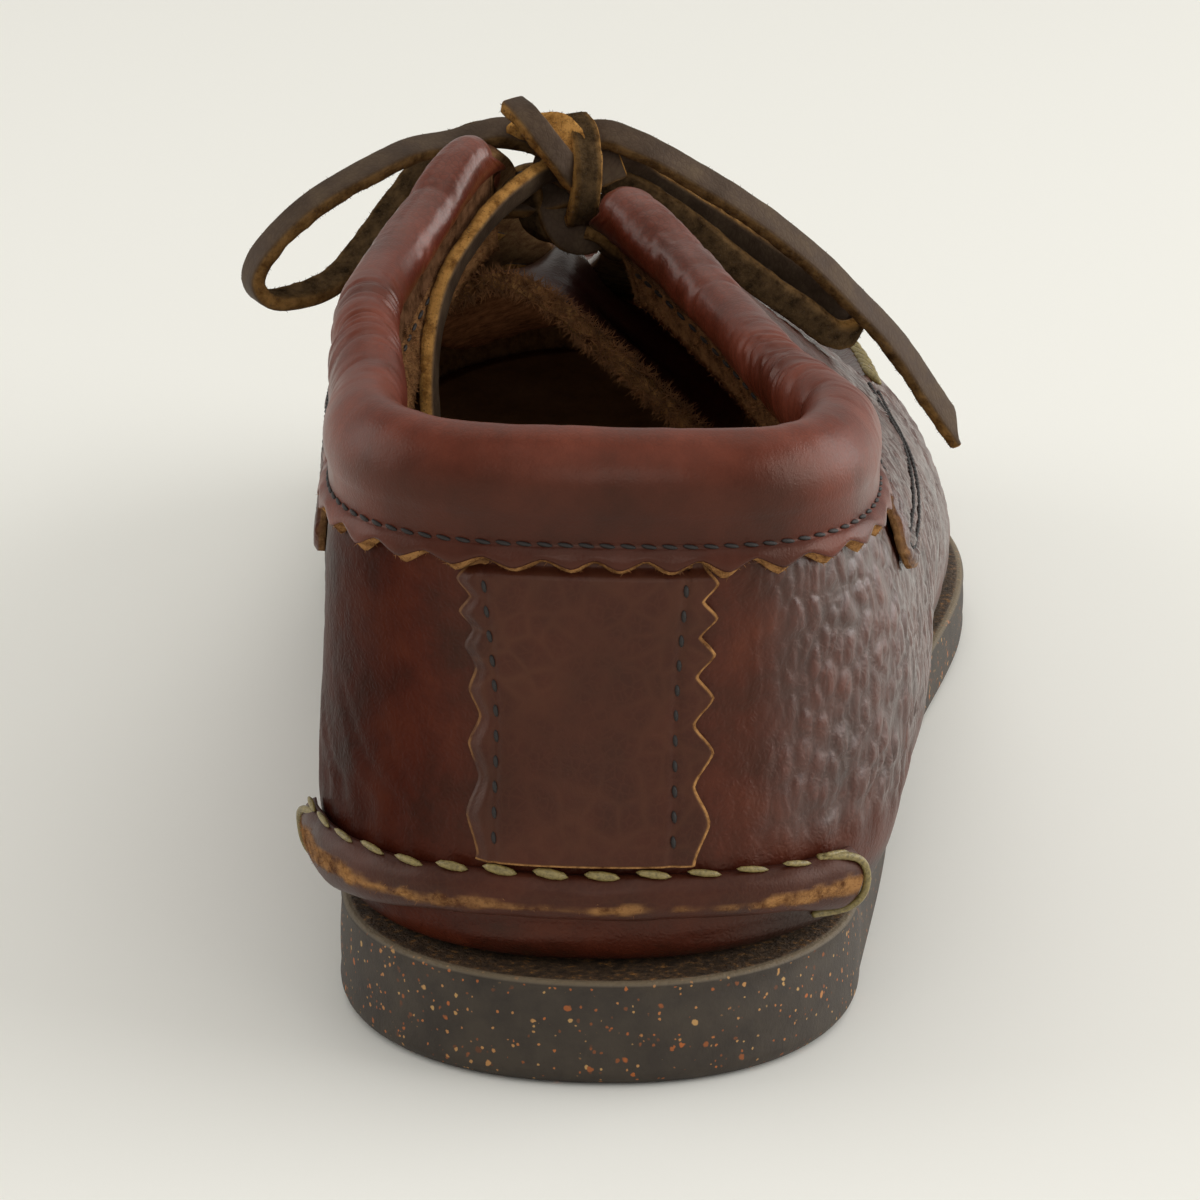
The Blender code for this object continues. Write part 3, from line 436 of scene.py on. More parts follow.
    def half_skin(self, side: int, around: Array, v: Array) -> Array:
        """The skin's points on one side."""
        rows = self.rows[side]
        y = self.beside(around)
        keys = {name: through(rows["y"], rows[name], y) for name in self.section}
        closed = y >= self.throat_y
        keys["top_x"] = np.where(closed, side * through(self.ridge["y"], self.ridge["x"], y), keys["top_x"])
        keys["top_z"] = np.where(closed, through(self.ridge["y"], self.ridge["z"], y), keys["top_z"])
        ridge = smooth(self.tip_y, self.throat_y + 4, y)
        x, z = self.profile(keys, v, self.sole_top(y) + self.gap, side * self.spine_x(y), ridge)
        for part, end, centre_y, centre_x, toward in (
            (around < 1, self.heel_end, self.heel_y, self.heel_x, -1),
            (around > 2, self.toe_end, self.toe_y, self.toe_x, 1),
        ):
            if not part.any():
                continue
            turn = np.where(toward < 0, around[part], 3 - around[part]) * math.pi / 2
            square = self.toe_square[0 if side == 1 else 1]
            if toward < 0:
                square = self.heel_square + (self.collar_square - self.heel_square) * smooth(
                    self.knots[2], 1, v[part])
            end_keys = {name: np.full(part.sum(), value) for name, value in zip(self.section, end)}
            foot_z = np.full(part.sum(), float(self.sole_top(centre_y + toward * end[0])) + self.gap)
            flat = np.full(part.sum(), 0.0 if toward < 0 else 1.0)
            reach, end_z = self.profile(end_keys, v[part], foot_z, np.zeros(part.sum()), flat)
            across = np.abs(np.sin(turn)) ** (2 / square)
            onward = np.abs(np.cos(turn)) ** (2 / square)
            middle = side * centre_x
            x[part] = middle + (x[part] - middle) * across
            y[part] = centre_y + toward * reach * onward
            z[part] = end_z * np.cos(turn) ** 2 + z[part] * np.sin(turn) ** 2
        on_sole = self.sole_top(y) + self.gap
        z = np.where(v <= self.knots[0], on_sole, np.maximum(z, on_sole))
        return np.stack([side * x, y, z], axis=1)

    def normal(self, s: Array | float, v: Array | float, step: float = 3e-3) -> Array:
        """Outward unit normals of the skin."""
        s, v = np.broadcast_arrays(np.asarray(s, float), np.asarray(v, float))
        rise = self.skin(s, np.minimum(v + step, 1.0)) - self.skin(s, np.maximum(v - step, 0.0))
        return unit(np.cross(self.skin(s + step, v) - self.skin(s - step, v), rise))

    def off(self, s: Array | float, v: Array | float, lift: Array | float) -> Array:
        """Points standing off the skin by lift, along its normal."""
        lift = np.broadcast_to(np.asarray(lift, float), np.broadcast(s, v).shape)
        return self.skin(s, v) + lift[..., None] * self.normal(s, v)

    def down(self, s: Array | float, distance: Array | float) -> Array:
        """The v at which the section has run the distance down from its top edge."""
        s, distance = np.broadcast_arrays(np.atleast_1d(s).astype(float), np.asarray(distance, float))
        levels = np.linspace(1.0, self.knots[1], 61)
        across, up = np.meshgrid(s, levels)
        run = np.linalg.norm(np.diff(self.skin(across, up), axis=0), axis=2).cumsum(axis=0)
        run = np.vstack([np.zeros(len(s)), run])
        return np.array([np.interp(distance[i], run[:, i], levels) for i in range(len(s))])

    def edge(self, s: Array, distance: Array, lift: Array) -> Array:
        """Points a distance below the top edge, or above it where that is negative, off the skin by lift."""
        below = self.off(s, self.down(s, np.maximum(distance, 0)), lift)
        upward = unit(self.skin(s, 1.0) - self.skin(s, 0.97))
        return below - np.minimum(distance, 0)[:, None] * upward

    def spread(self, low: float, high: float, spacing: float, level: float,
               weight: Callable[[Array], Array] | None = None) -> Array:
        """Values of s from low to high, evenly spaced in millimetres at a level.

        Args:
            low: the first s.
            high: the last s.
            spacing: the distance from one to the next.
            level: the v at which it is measured.
            weight: how many times closer they stand, as a function of s.

        Returns:
            The values of s.
        """
        fine = np.linspace(low, high, 1600)
        step = np.linalg.norm(np.diff(self.skin(fine, level), axis=0), axis=1)
        if weight is not None:
            step = step * weight((fine[1:] + fine[:-1]) / 2)
        run = np.concatenate([[0], step.cumsum()])
        count = max(2, round(run[-1] / spacing) + 1)
        return np.interp(np.linspace(0, run[-1], count), run, fine)


# ---- meshes --------------------------------------------------------------------------------------


def place_object(name: str, data: Any) -> bpy.types.Object:
    """A new object of the data, in the scene."""
    made = bpy.data.objects.new(name, data)
    bpy.context.scene.collection.objects.link(made)
    return made


def grid_faces(rows: int, columns: int, start: int = 0, ring: bool = False) -> list[list[int]]:
    """Quads over a grid of points stored row by row; ring joins the last column to the first."""
    faces = []
    for i in range(rows - 1):
        for j in range(columns if ring else columns - 1):
            a, b = i * columns + j, i * columns + (j + 1) % columns
            faces.append([start + a, start + b, start + b + columns, start + a + columns])
    return faces


def add_mesh(name: str, last: Last, points: Array, faces: list[list[int]], materials: Sequence[Any],
             values: Mapping[str, Array] | None = None) -> bpy.types.Object:
    """Makes a closed mesh object from points in the last's frame.

    Args:
        name: the piece's name.
        last: the last, which places the points.
        points: rows of x, y and z.
        faces: lists of point numbers.
        materials: the finishes, the first on every face.
        values: one number a point for each named attribute that the finish reads.

    Returns:
        The object, smooth shaded, with its faces turned outwards.
    """
    mesh = bpy.data.meshes.new(name)
    mesh.from_pydata(last.place(points).tolist(), [], faces)
    for key, value in (values or {}).items():
        mesh.attributes.new(key, "FLOAT", "POINT").data.foreach_set(
            "value", np.asarray(value, np.float32).ravel())
    build = bmesh.new()
    build.from_mesh(mesh)
    bmesh.ops.remove_doubles(build, verts=build.verts, dist=2e-6)
    bmesh.ops.dissolve_degenerate(build, edges=build.edges, dist=1e-6)
    bmesh.ops.recalc_face_normals(build, faces=build.faces)
    if build.calc_volume(signed=True) < 0:
        bmesh.ops.reverse_faces(build, faces=build.faces)
    build.to_mesh(mesh)
    build.free()
    mesh.shade_smooth()
    for material in materials:
        mesh.materials.append(material)
    return place_object(name, mesh)


@dataclass
class Sweep:
    """A closed piece made from cross-section loops of one count, with softly closed or flat ends."""

    loops: Array  # rows, columns, 3
    values: dict[str, Array]  # rows, columns for each name
    cap_depth: float = 0.6
    cap_cut: float = 0.0
    flat: bool = False  # a thin bent section is closed flat, since it can't shrink to its middle

    def capped(self) -> tuple[Array, dict[str, Array]]:
        """The loops and values with rings added that close both ends."""
        loops, values = [self.loops], {name: [value] for name, value in self.values.items()}
        for end, step in ((0, 1), (-1, -2)):
            ring = self.loops[end]
            centre = ring.mean(axis=0)
            away = unit(centre - self.loops[step].mean(axis=0))
            stages = ((1, 0.5), (1, 1)) if self.flat else ((0.97, 0.35), (0.86, 0.75), (0.6, 0.95), (0.02, 1.0))
            extra = [centre + (ring - centre) * shrink + away * push * self.cap_depth
                     for shrink, push in stages]
            block = np.array(extra if end == -1 else extra[::-1])
            loops = loops + [block] if end == -1 else [block] + loops
            for name, parts in values.items():
                edge = np.repeat(self.values[name][end][None], len(stages), axis=0)
                if name == "cut":
                    edge = np.maximum(edge, self.cap_cut)
                values[name] = parts + [edge] if end == -1 else [edge] + parts
        return np.concatenate(loops), {name: np.concatenate(parts) for name, parts in values.items()}

    def make(self, name: str, last: Last, materials: Sequence[Any]) -> bpy.types.Object:
        """Builds the piece's mesh object."""
        loops, values = self.capped()
        rows, columns = loops.shape[:2]
        faces = grid_faces(rows, columns, ring=True)
        faces.append(list(range(columns))[::-1])
        faces.append([(rows - 1) * columns + j for j in range(columns)])
        return add_mesh(name, last, loops.reshape(-1, 3), faces, materials, values)


def tube(path: Array, radius: float, sides: int = 10) -> Sweep:
    """A round thread along a path, as a closed sweep."""
    ahead = unit(np.gradient(path, axis=0))
    across = [unit(np.cross(ahead[0], (0.3, 0.2, 0.9)))]
    for way in ahead[1:]:
        across.append(unit(across[-1] - way * np.dot(across[-1], way)))
    side = np.array(across)
    up = np.cross(ahead, side)
    turns = np.linspace(0, 2 * math.pi, sides, endpoint=False)
    loops = np.stack([path + radius * (side * math.cos(turn) + up * math.sin(turn)) for turn in turns], axis=1)
    return Sweep(loops, {}, radius * 0.8)


@dataclass
class Plate:
    """A cut piece of leather lying on the skin, with rounded grain edges and raw cut sides."""

    last: Last
    s: Array  # rows, columns
    v: Array  # rows, columns
    under: float
    thickness: float
    bevel: float = 0.45
    relief: Array | None = None
    pebble: float = 0.5
    valley_and_shade: Array | None = None
    bare: Array | float = 1.0  # how much of the tan cut shows, one value a row or one for all

    def from_outline(self) -> Array:
        """Each grid point's distance to the plate's outline."""
        points = self.last.skin(self.s, self.v)
        outline = np.concatenate([points[:, 0], points[:, -1], points[0, 1:-1], points[-1, 1:-1]])
        fine = np.concatenate([outline[:-1] + (outline[1:] - outline[:-1]) * share for share in (0, 0.5)])
        steps = np.linalg.norm(np.concatenate([np.diff(outline, axis=0)] * 2), axis=1)
        fine = fine[steps < 4]
        return np.array([np.linalg.norm(row[:, None] - fine[None], axis=2).min(axis=1) for row in points])

    def sweep(self) -> Sweep:
        """The plate as closed cross-section loops."""
        rows, columns = self.s.shape
        top = np.full((rows, columns), self.under + self.thickness)
        if self.relief is not None:
            top = top + self.relief
        width = np.linalg.norm(np.diff(self.last.skin(self.s, self.v), axis=1), axis=2)
        run = np.concatenate([np.zeros((rows, 1)), width.cumsum(axis=1)], axis=1)
        nearest = np.minimum(run, run[:, -1:] - run)
        top = top - 0.9 * self.bevel * np.exp(-((nearest / (0.8 * self.bevel)) ** 2))
        outer = self.last.off(self.s, self.v, top)
        back = np.linspace(columns - 1, 0, 8).round().astype(int)
        inner = self.last.off(self.s[:, back], self.v[:, back], self.under)
        share = np.array([0.3, 0.65])[None, :, None]
        right = outer[:, -1:] + (inner[:, :1] - outer[:, -1:]) * share
        left = inner[:, -1:] + (outer[:, :1] - inner[:, -1:]) * share
        tan = np.broadcast_to(np.reshape(self.bare, (-1, 1)), (rows, 1))
        trim = tan * smooth(1.35 * self.bevel, 0.7 * self.bevel, nearest)
        valley_and_shade = np.zeros((rows, columns)) if self.valley_and_shade is None else self.valley_and_shade
        loops = np.concatenate([outer, right, inner, left], axis=1)
        blank = np.zeros((rows, loops.shape[1] - columns))
        values = {"cut": np.concatenate([trim, (blank + 1) * tan], axis=1),
                  "raw": np.concatenate([0 * trim, blank + 1], axis=1),
                  "valley_and_shade": np.concatenate([valley_and_shade, blank], axis=1),
                  "pebble": np.full(loops.shape[:2], self.pebble)}
        return Sweep(loops, values, 0.3, float(np.mean(self.bare)), flat=True)


# ---- finishes ------------------------------------------------------------------------------------


def linear(colour: str) -> tuple[float, float, float, float]:
    """An sRGB hex colour as the shader's linear values."""
    parts = [int(colour[i:i + 2], 16) / 255 for i in (1, 3, 5)]
    return (*[p / 12.92 if p <= 0.04045 else ((p + 0.055) / 1.055) ** 2.4 for p in parts], 1.0)


def per_mm(size: float) -> float:
    """The texture scale, on coordinates in metres, that repeats once in size millimetres."""
    return 1 / (size * MM)


def feed(tree: bpy.types.NodeTree, socket: Socket, value: Any) -> None:
    """Links another node's socket to an input, or sets its value."""
    if isinstance(value, Socket):
        tree.links.new(value, socket)
    else:
        socket.default_value = value


def add(tree: bpy.types.NodeTree, kind: str, inputs: Mapping[Any, Any] | None = None,
        **settings: Any) -> bpy.types.Node:
    """Adds a node.

    Args:
        tree: the node tree.
        kind: the node's type.
        inputs: by input name or number, a value to set or another node's socket to link.
        settings: the node's own properties.

    Returns:
        The node.
    """
    node = tree.nodes.new(kind)
    for name, value in settings.items():
        setattr(node, name, value)
    for key, value in (inputs or {}).items():
        feed(tree, node.inputs[key], value)
    return node


class Shading:
    """A new node material, with short calls for the nodes that the finishes repeat.

    Each call adds one node and gives its output socket.
    """

    def __init__(self, name: str, colour: str) -> None:
        """Makes the material, with the colour that a plain view shows."""
        self.material = bpy.data.materials.new(name)
        self.material.use_nodes = True
        self.material.diffuse_color = linear(colour)
        self.tree = self.material.node_tree
        self.shader = self.tree.nodes["Principled BSDF"]
        self.place = add(self.tree, "ShaderNodeTexCoord").outputs["Object"]

    def attribute(self, name: str) -> Socket:
        """A mesh attribute."""
        return add(self.tree, "ShaderNodeAttribute", attribute_name=name).outputs["Fac"]

    def noise(self, size: float, detail: float, roughness: float = 0.5, output: str = "Fac") -> Socket:
        """Noise with lumps of size millimetres."""
        return add(self.tree, "ShaderNodeTexNoise", {
            "Vector": self.place, "Scale": per_mm(size), "Detail": detail,
            "Roughness": roughness}).outputs[output]

    def borders(self, where: Socket, size: float) -> Socket:
        """The distance to the borders between cells of size millimetres."""
        return add(self.tree, "ShaderNodeTexVoronoi", {"Vector": where, "Scale": per_mm(size)},
                   feature="DISTANCE_TO_EDGE").outputs["Distance"]

    def maths(self, operation: str, *values: Socket | float) -> Socket:
        """A sum on numbers."""
        return add(self.tree, "ShaderNodeMath", dict(enumerate(values)), operation=operation).outputs[0]

    def vectors(self, operation: str, *values: Socket | Row) -> Socket:
        """A sum on vectors."""
        return add(self.tree, "ShaderNodeVectorMath", dict(enumerate(values)),
                   operation=operation).outputs["Vector"]

    def remap(self, value: Socket, low: float, high: float, first: float = 0.0, last: float = 1.0,
              kind: str = "LINEAR") -> Socket:
        """The value's range from low to high, as one from first to last."""
        return add(self.tree, "ShaderNodeMapRange", {"Value": value, "From Min": low, "From Max": high,
                                                     "To Min": first, "To Max": last},
                   interpolation_type=kind).outputs["Result"]

    def blend(self, factor: Socket, one: Any, other: Any, kind: str = "RGBA") -> Socket:
        """One value, or colour, where the factor is 0 and the other where it is 1."""
        return add(self.tree, "ShaderNodeMix", {"Factor": factor, "A": one, "B": other},
                   data_type=kind).outputs["Result"]

    def ramp(self, factor: Socket, *stops: tuple[float, str]) -> Socket:
        """A colour ramp through hex colours at the places given."""
        node = add(self.tree, "ShaderNodeValToRGB", {"Fac": factor})
        elements = node.color_ramp.elements
        while len(elements) < len(stops):
            elements.new(0.5)
        for element, (place, colour) in zip(elements, stops):
            element.position = place
            element.color = linear(colour)
        return node.outputs["Color"]

    def finish(self, height: Socket | None = None, **inputs: Any) -> bpy.types.Material:
        """Gives the shader its inputs, named with underscores, and a bump whose height is in metres."""
        if height is not None:
            inputs["Normal"] = add(self.tree, "ShaderNodeBump", {
                "Strength": 1.0, "Distance": 1.0, "Height": height}).outputs["Normal"]
        for name, value in inputs.items():
            feed(self.tree, self.shader.inputs[name.replace("_", " ")], value)
        return self.material


@dataclass(frozen=True)
class PullUpLeather:
    """Drum-dyed, oiled and waxed cowhide, shrunk or smooth, with its raw flesh side and cut edges.

    The grain shows rounded pebbles parted by fine valleys, and a soft waxy gloss. Attributes say where it
    is otherwise: raw is the matte brown nap of the flesh side, cut the tan fibres of a cut edge, pebble how
    heavy the grain is, valley the darker colour in a groove that the mesh has and also painted shade,
    burnish leather burnished dark and shiny and also painted shade, and dull less gloss, which darkens the
    leather as painted shade.
    """

    name: str
    dark: str
    middle: str
    light: str
    # the dark colour of the grain's grooves, also laid on as painted shade
    valley_and_shade: str = "#1E0D08"
    raw_dark: str = "#3A2415"
    raw_light: str = "#74523A"
    cut_dark: str = "#5E3C24"
    cut_light: str = "#AE8050"
    pebble_mm: float = 1.5
    pebble_depth_mm: float = 0.16
    drawn_out: float = 0.55  # how much longer the pebbles are upright
    pore_mm: float = 0.34
    pore_depth_mm: float = 0.035
    roughness: float = 0.42
    gloss: float = 0.36
    coat: float = 0.05
    waxed_grain: float = 0.0  # how much more gloss a heavy grain has, polished by wear
    mottle_mm: float = 11.0
    tint: str = "#FFD9C4"  # of the gloss, which the wax warms
    # the colour of burnished leather, also laid on as painted shade
    rubbed_and_shaded: str = "#0B0908"

    def make(self) -> bpy.types.Material:
        """Builds the material."""
        look = Shading(self.name, self.middle)
        flesh, edge, pebble, burnish_and_shade, dulled_for_shade, groove = (
            look.attribute(name) for name in ("raw", "cut", "pebble", "burnish_and_shade", "dulled_for_shade", "valley_and_shade"))
        raw = look.maths("MAXIMUM", flesh, edge)
        bent = look.vectors("ADD", look.place, look.vectors("MULTIPLY", look.noise(5.0, 1.0, output="Color"),
                                                            (0.0022, 0.0022, 0.0022)))
        drawn = add(look.tree, "ShaderNodeMapping", {"Vector": bent, "Scale": (1, 1, self.drawn_out)})
        cells = look.borders(drawn.outputs["Vector"], self.pebble_mm)
        pillow = look.remap(cells, 0, 0.32, kind="SMOOTHERSTEP")
        pillow_small = look.remap(look.borders(bent, self.pebble_mm * 0.45), 0, 0.4, kind="SMOOTHERSTEP")
        depth = self.pebble_depth_mm * MM
        tall = look.maths("MULTIPLY", look.maths("MULTIPLY", pillow, pebble), depth)
        little = look.maths("MULTIPLY_ADD", pillow_small, 0.3 * depth, tall)
        grain = look.maths("MULTIPLY_ADD", look.noise(self.pore_mm, 3.0), self.pore_depth_mm * MM, little)
        nap = look.maths("MULTIPLY", look.noise(0.5, 6.0, 0.75), 0.35 * MM)

        mottle = look.noise(self.mottle_mm, 5.0, 0.62)
        tone = look.ramp(mottle, (0.3, self.dark), (0.5, self.middle), (0.72, self.light))
        valley_and_shade = look.maths("MULTIPLY", look.remap(cells, 0, 0.16, 0.45, 0.0), pebble)
        # the grooves' dark colour, and painted shade wherever the mesh's attribute marks it
        grained = look.blend(look.maths("MAXIMUM", valley_and_shade, groove), tone, linear(self.valley_and_shade))
        # burnished leather, and painted shade, wherever the mesh marks it
        polished = look.blend(burnish_and_shade, grained, linear(self.rubbed_and_shaded))
        patch = look.noise(2.2, 6.0, 0.7)
        napped = look.blend(flesh, polished, look.ramp(patch, (0.34, self.raw_dark), (0.62, self.raw_light)))
        colour = look.blend(edge, napped, look.ramp(patch, (0.36, self.cut_dark), (0.58, self.cut_light)))
        scuff = look.remap(mottle, 0.3, 0.7, self.roughness - 0.06, self.roughness + 0.09)
        rough = look.blend(raw, look.blend(burnish_and_shade, scuff, 0.26, "FLOAT"), 0.95, "FLOAT")
        grained_side = look.maths("SUBTRACT", 1.0, raw)
        # painted shade: less gloss where the mesh marks it, which darkens the leather
        lustre = look.remap(dulled_for_shade, 0, 1, self.gloss, 0.12 * self.gloss)
        wax = look.remap(pebble, 0.4, 0.75, self.coat, self.coat + self.waxed_grain)
        return look.finish(
            look.blend(raw, grain, nap, "FLOAT"), Base_Color=colour, Roughness=rough, IOR=1.5,
            Coat_Roughness=0.27, Specular_IOR_Level=look.maths("MULTIPLY", lustre, grained_side),
            Specular_Tint=linear(self.tint), Coat_Weight=look.maths("MULTIPLY", wax, grained_side))


@dataclass(frozen=True)
class CorkRubber:
    """Moulded nitrile rubber filled with ground cork: matte, dark, with paler flecks from sand to rust."""

    name: str = "moulded cork rubber"
    base: str = "#3D342A"
    shade: str = "#2E261F"
    flecks: tuple[str, ...] = ("#5A3620", "#A65A26", "#B08A55")
    fleck_mm: float = 0.65
    # the colour of a painted highlight along the top bevel
    corner: str = "#86765E"
    buffed: tuple[str, ...] = ("#31251A", "#5A4632", "#A0713C")

    def make(self) -> bpy.types.Material:
        """Builds the material."""
        look = Shading(self.name, self.base)
        colour = look.ramp(look.noise(7.0, 6.0, 0.65), (0.35, self.shade), (0.62, self.base))
        for size, few, seed in ((self.fleck_mm, 0.84, 0.0), (self.fleck_mm * 1.5, 0.87, 0.37),
                                (self.fleck_mm * 2.2, 0.93, 0.71)):
            nudge = look.vectors("MULTIPLY_ADD", look.noise(size * 0.6, 2.0, output="Color"),
                                 (size * 0.5 * MM,) * 3, (seed, seed, seed))
            cell = add(look.tree, "ShaderNodeTexVoronoi", {"Vector": look.vectors("ADD", look.place, nudge),
                                                           "Scale": per_mm(size)})
            pick = add(look.tree, "ShaderNodeSeparateColor", {"Color": cell.outputs["Color"]})
            chosen = look.maths("GREATER_THAN", pick.outputs["Red"], few)
            shown = look.maths("MULTIPLY", chosen, look.remap(cell.outputs["Distance"], 0.34, 0.24))
            fleck = look.ramp(pick.outputs["Green"], *zip((0.1, 0.45, 0.95), self.flecks))
            colour = look.blend(shown, colour, fleck)
        ledge = look.attribute("ledge")
        # painted highlight: a light line along the top bevel
        colour = look.blend(look.remap(ledge, 0.05, 0.45, 0, 0.75), colour, linear(self.corner))
        buffed = look.ramp(look.noise(1.1, 5.0, 0.7), *zip((0.35, 0.56, 0.68), self.buffed))
        colour = look.blend(look.remap(ledge, 0.5, 0.8), colour, buffed)
        height = look.maths("MULTIPLY", look.noise(0.6, 5.0, 0.6), look.remap(ledge, 0, 1, 0.07 * MM, 0.5 * MM))
        return look.finish(height, Base_Color=colour, Roughness=0.62, Specular_IOR_Level=0.4)


@dataclass(frozen=True)
class SewingThread:
    """Twisted and waxed thread: fine slanting plies, a soft wax gloss."""

    name: str
    colour: str
    shade: str
    ply_mm: float
    roughness: float = 0.5

    def make(self) -> bpy.types.Material:
        """Builds the material."""
        look = Shading(self.name, self.colour)
        fibre = look.noise(self.ply_mm, 4.0, 0.7)
        return look.finish(look.maths("MULTIPLY", fibre, 0.2 * self.ply_mm * MM), Roughness=self.roughness,
                           Base_Color=look.ramp(fibre, (0.3, self.shade), (0.6, self.colour)))


@dataclass(frozen=True)
class NapFibre:
    """Loose collagen fibres teased out of a cut edge: matte, pale at the tips."""

    name: str
    colour: str

    def make(self) -> bpy.types.Material:
        """Builds the material."""
        look = Shading(self.name, self.colour)
        bright = look.remap(look.noise(1.7, 2.0), 0.3, 0.7, 0.55, 1.3)
        hue = add(look.tree, "ShaderNodeHueSaturation", {"Color": linear(self.colour), "Value": bright})
        return look.finish(Base_Color=hue.outputs["Color"], Roughness=0.95)


@dataclass(frozen=True)
class StudioPaper:
    """Seamless warm white background paper, matte."""

    name: str = "studio paper"
    colour: str = "#F2F1EB"

    def make(self) -> bpy.types.Material:
        """Builds the material."""
        look = Shading(self.name, self.colour)
        return look.finish(look.maths("MULTIPLY", look.noise(2.0, 3.0), 0.02 * MM), Roughness=0.9,
                           Base_Color=linear(self.colour))


@dataclass
class Finishes:
    """Every finish on the shoe, made once."""

    def __post_init__(self) -> None:
        """Makes the materials."""
        self.quarter = PullUpLeather("shrunken grain cowhide", "#2E1108", "#43180C", "#552413",
                                     valley_and_shade="#170905", raw_dark="#6A4A30", raw_light="#9C7852",
                                     waxed_grain=0.6, pebble_mm=1.9, pebble_depth_mm=0.11).make()
        self.panel = PullUpLeather("milled grain cowhide", "#2C110A", "#37150C", "#431D12", valley_and_shade="#52301F",
                                   pebble_mm=1.2, pebble_depth_mm=0.03, drawn_out=0.9, roughness=0.44).make()
        self.collar = PullUpLeather("smooth padded cowhide", "#4C1E11", "#602819", "#743625", pebble_mm=0.9,
                                    pebble_depth_mm=0.02, drawn_out=1.0, roughness=0.35, gloss=0.3,
                                    waxed_grain=0.4).make()
        self.tongue = PullUpLeather("tongue cowhide", "#2E130B", "#43190F", "#542414", pebble_mm=1.2,
                                    pebble_depth_mm=0.04).make()
        self.insole = PullUpLeather("insole cowhide", "#86623E", "#A47C52", "#B68E62", pebble_depth_mm=0.02,
                                    roughness=0.6, coat=0.0).make()
        self.lace = PullUpLeather("oiled thong leather", "#33281D", "#43362A", "#544636", raw_dark="#2B2116",
                                  raw_light="#5E4A33", cut_dark="#7A5228", cut_light="#C08E4E", pebble_mm=0.8,
                                  pebble_depth_mm=0.03, roughness=0.55, gloss=0.25, coat=0.0,
                                  mottle_mm=5.0).make()
        self.rubber = CorkRubber().make()
        self.waxed = SewingThread("waxed olive linen thread", "#8C7C4B", "#544826", 0.5, 0.38).make()
        self.bonded = SewingThread("dark bonded thread", "#1B120E", "#0E0907", 0.3, 0.6).make()
        self.nap = NapFibre("tan leather nap", "#8A5E38").make()
        self.dark_nap = NapFibre("brown leather nap", "#4F3B29").make()
        self.paper = StudioPaper().make()


# ---- what repeats: stitches and nap --------------------------------------------------------------


def node_group(name: str, **inputs: float | int) -> tuple[bpy.types.NodeTree, Any]:
    """A geometry node group with a geometry, the numbers given by name, and a material as its inputs.

    Args:
        name: the group's name.
        inputs: a starting value for each number, named with underscores.

    Returns:
        The tree, and the sockets that carry its inputs.
    """
    tree = bpy.data.node_groups.new(name, "GeometryNodeTree")
    tree.interface.new_socket("Geometry", in_out="OUTPUT", socket_type="NodeSocketGeometry")
    tree.interface.new_socket("Geometry", in_out="INPUT", socket_type="NodeSocketGeometry")
    for key, value in inputs.items():
        kind = "NodeSocketInt" if isinstance(value, int) else "NodeSocketFloat"
        tree.interface.new_socket(key.replace("_", " "), in_out="INPUT", socket_type=kind).default_value = value
    tree.interface.new_socket("Material", in_out="INPUT", socket_type="NodeSocketMaterial")
    return tree, add(tree, "NodeGroupInput").outputs


def named_attribute(tree: bpy.types.NodeTree, name: str, kind: str = "FLOAT") -> Socket:
    """A mesh attribute, in a geometry node group."""
    return add(tree, "GeometryNodeInputNamedAttribute", {"Name": name}, data_type=kind).outputs["Attribute"]


def keep(tree: bpy.types.NodeTree, made: Socket, material: Socket) -> None:
    """Ends a node group: gives what it made its material and hands it out."""
    dyed = add(tree, "GeometryNodeSetMaterial", {"Geometry": made, "Material": material})
    add(tree, "NodeGroupOutput", {0: dyed.outputs[0]})


def run_nodes(piece: bpy.types.Object, tree: bpy.types.NodeTree, settings: Mapping[str, Any], name: str,
              material: bpy.types.Material) -> bpy.types.Object:
    """Runs a geometry node tree on an object and keeps the result as a plain mesh piece.

    Args:
        piece: the object that the tree reads; it is removed afterwards.
        tree: the node group.
        settings: a value for each named input.
        name: the new piece's name.
        material: the finish that the tree sets.

    Returns:
        The new piece.
    """
    modifier = piece.modifiers.new("nodes", "NODES")
    modifier.node_group = tree
    for item in tree.interface.items_tree:
        if item.item_type == "SOCKET" and item.in_out == "INPUT" and item.name in settings:
            modifier[item.identifier] = settings[item.name]
    graph = bpy.context.evaluated_depsgraph_get()
    graph.update()
    mesh = bpy.data.meshes.new_from_object(piece.evaluated_get(graph))
    mesh.name = name
    bpy.data.objects.remove(piece, do_unlink=True)
    mesh.materials.clear()
    mesh.materials.append(material)
    return place_object(name, mesh)


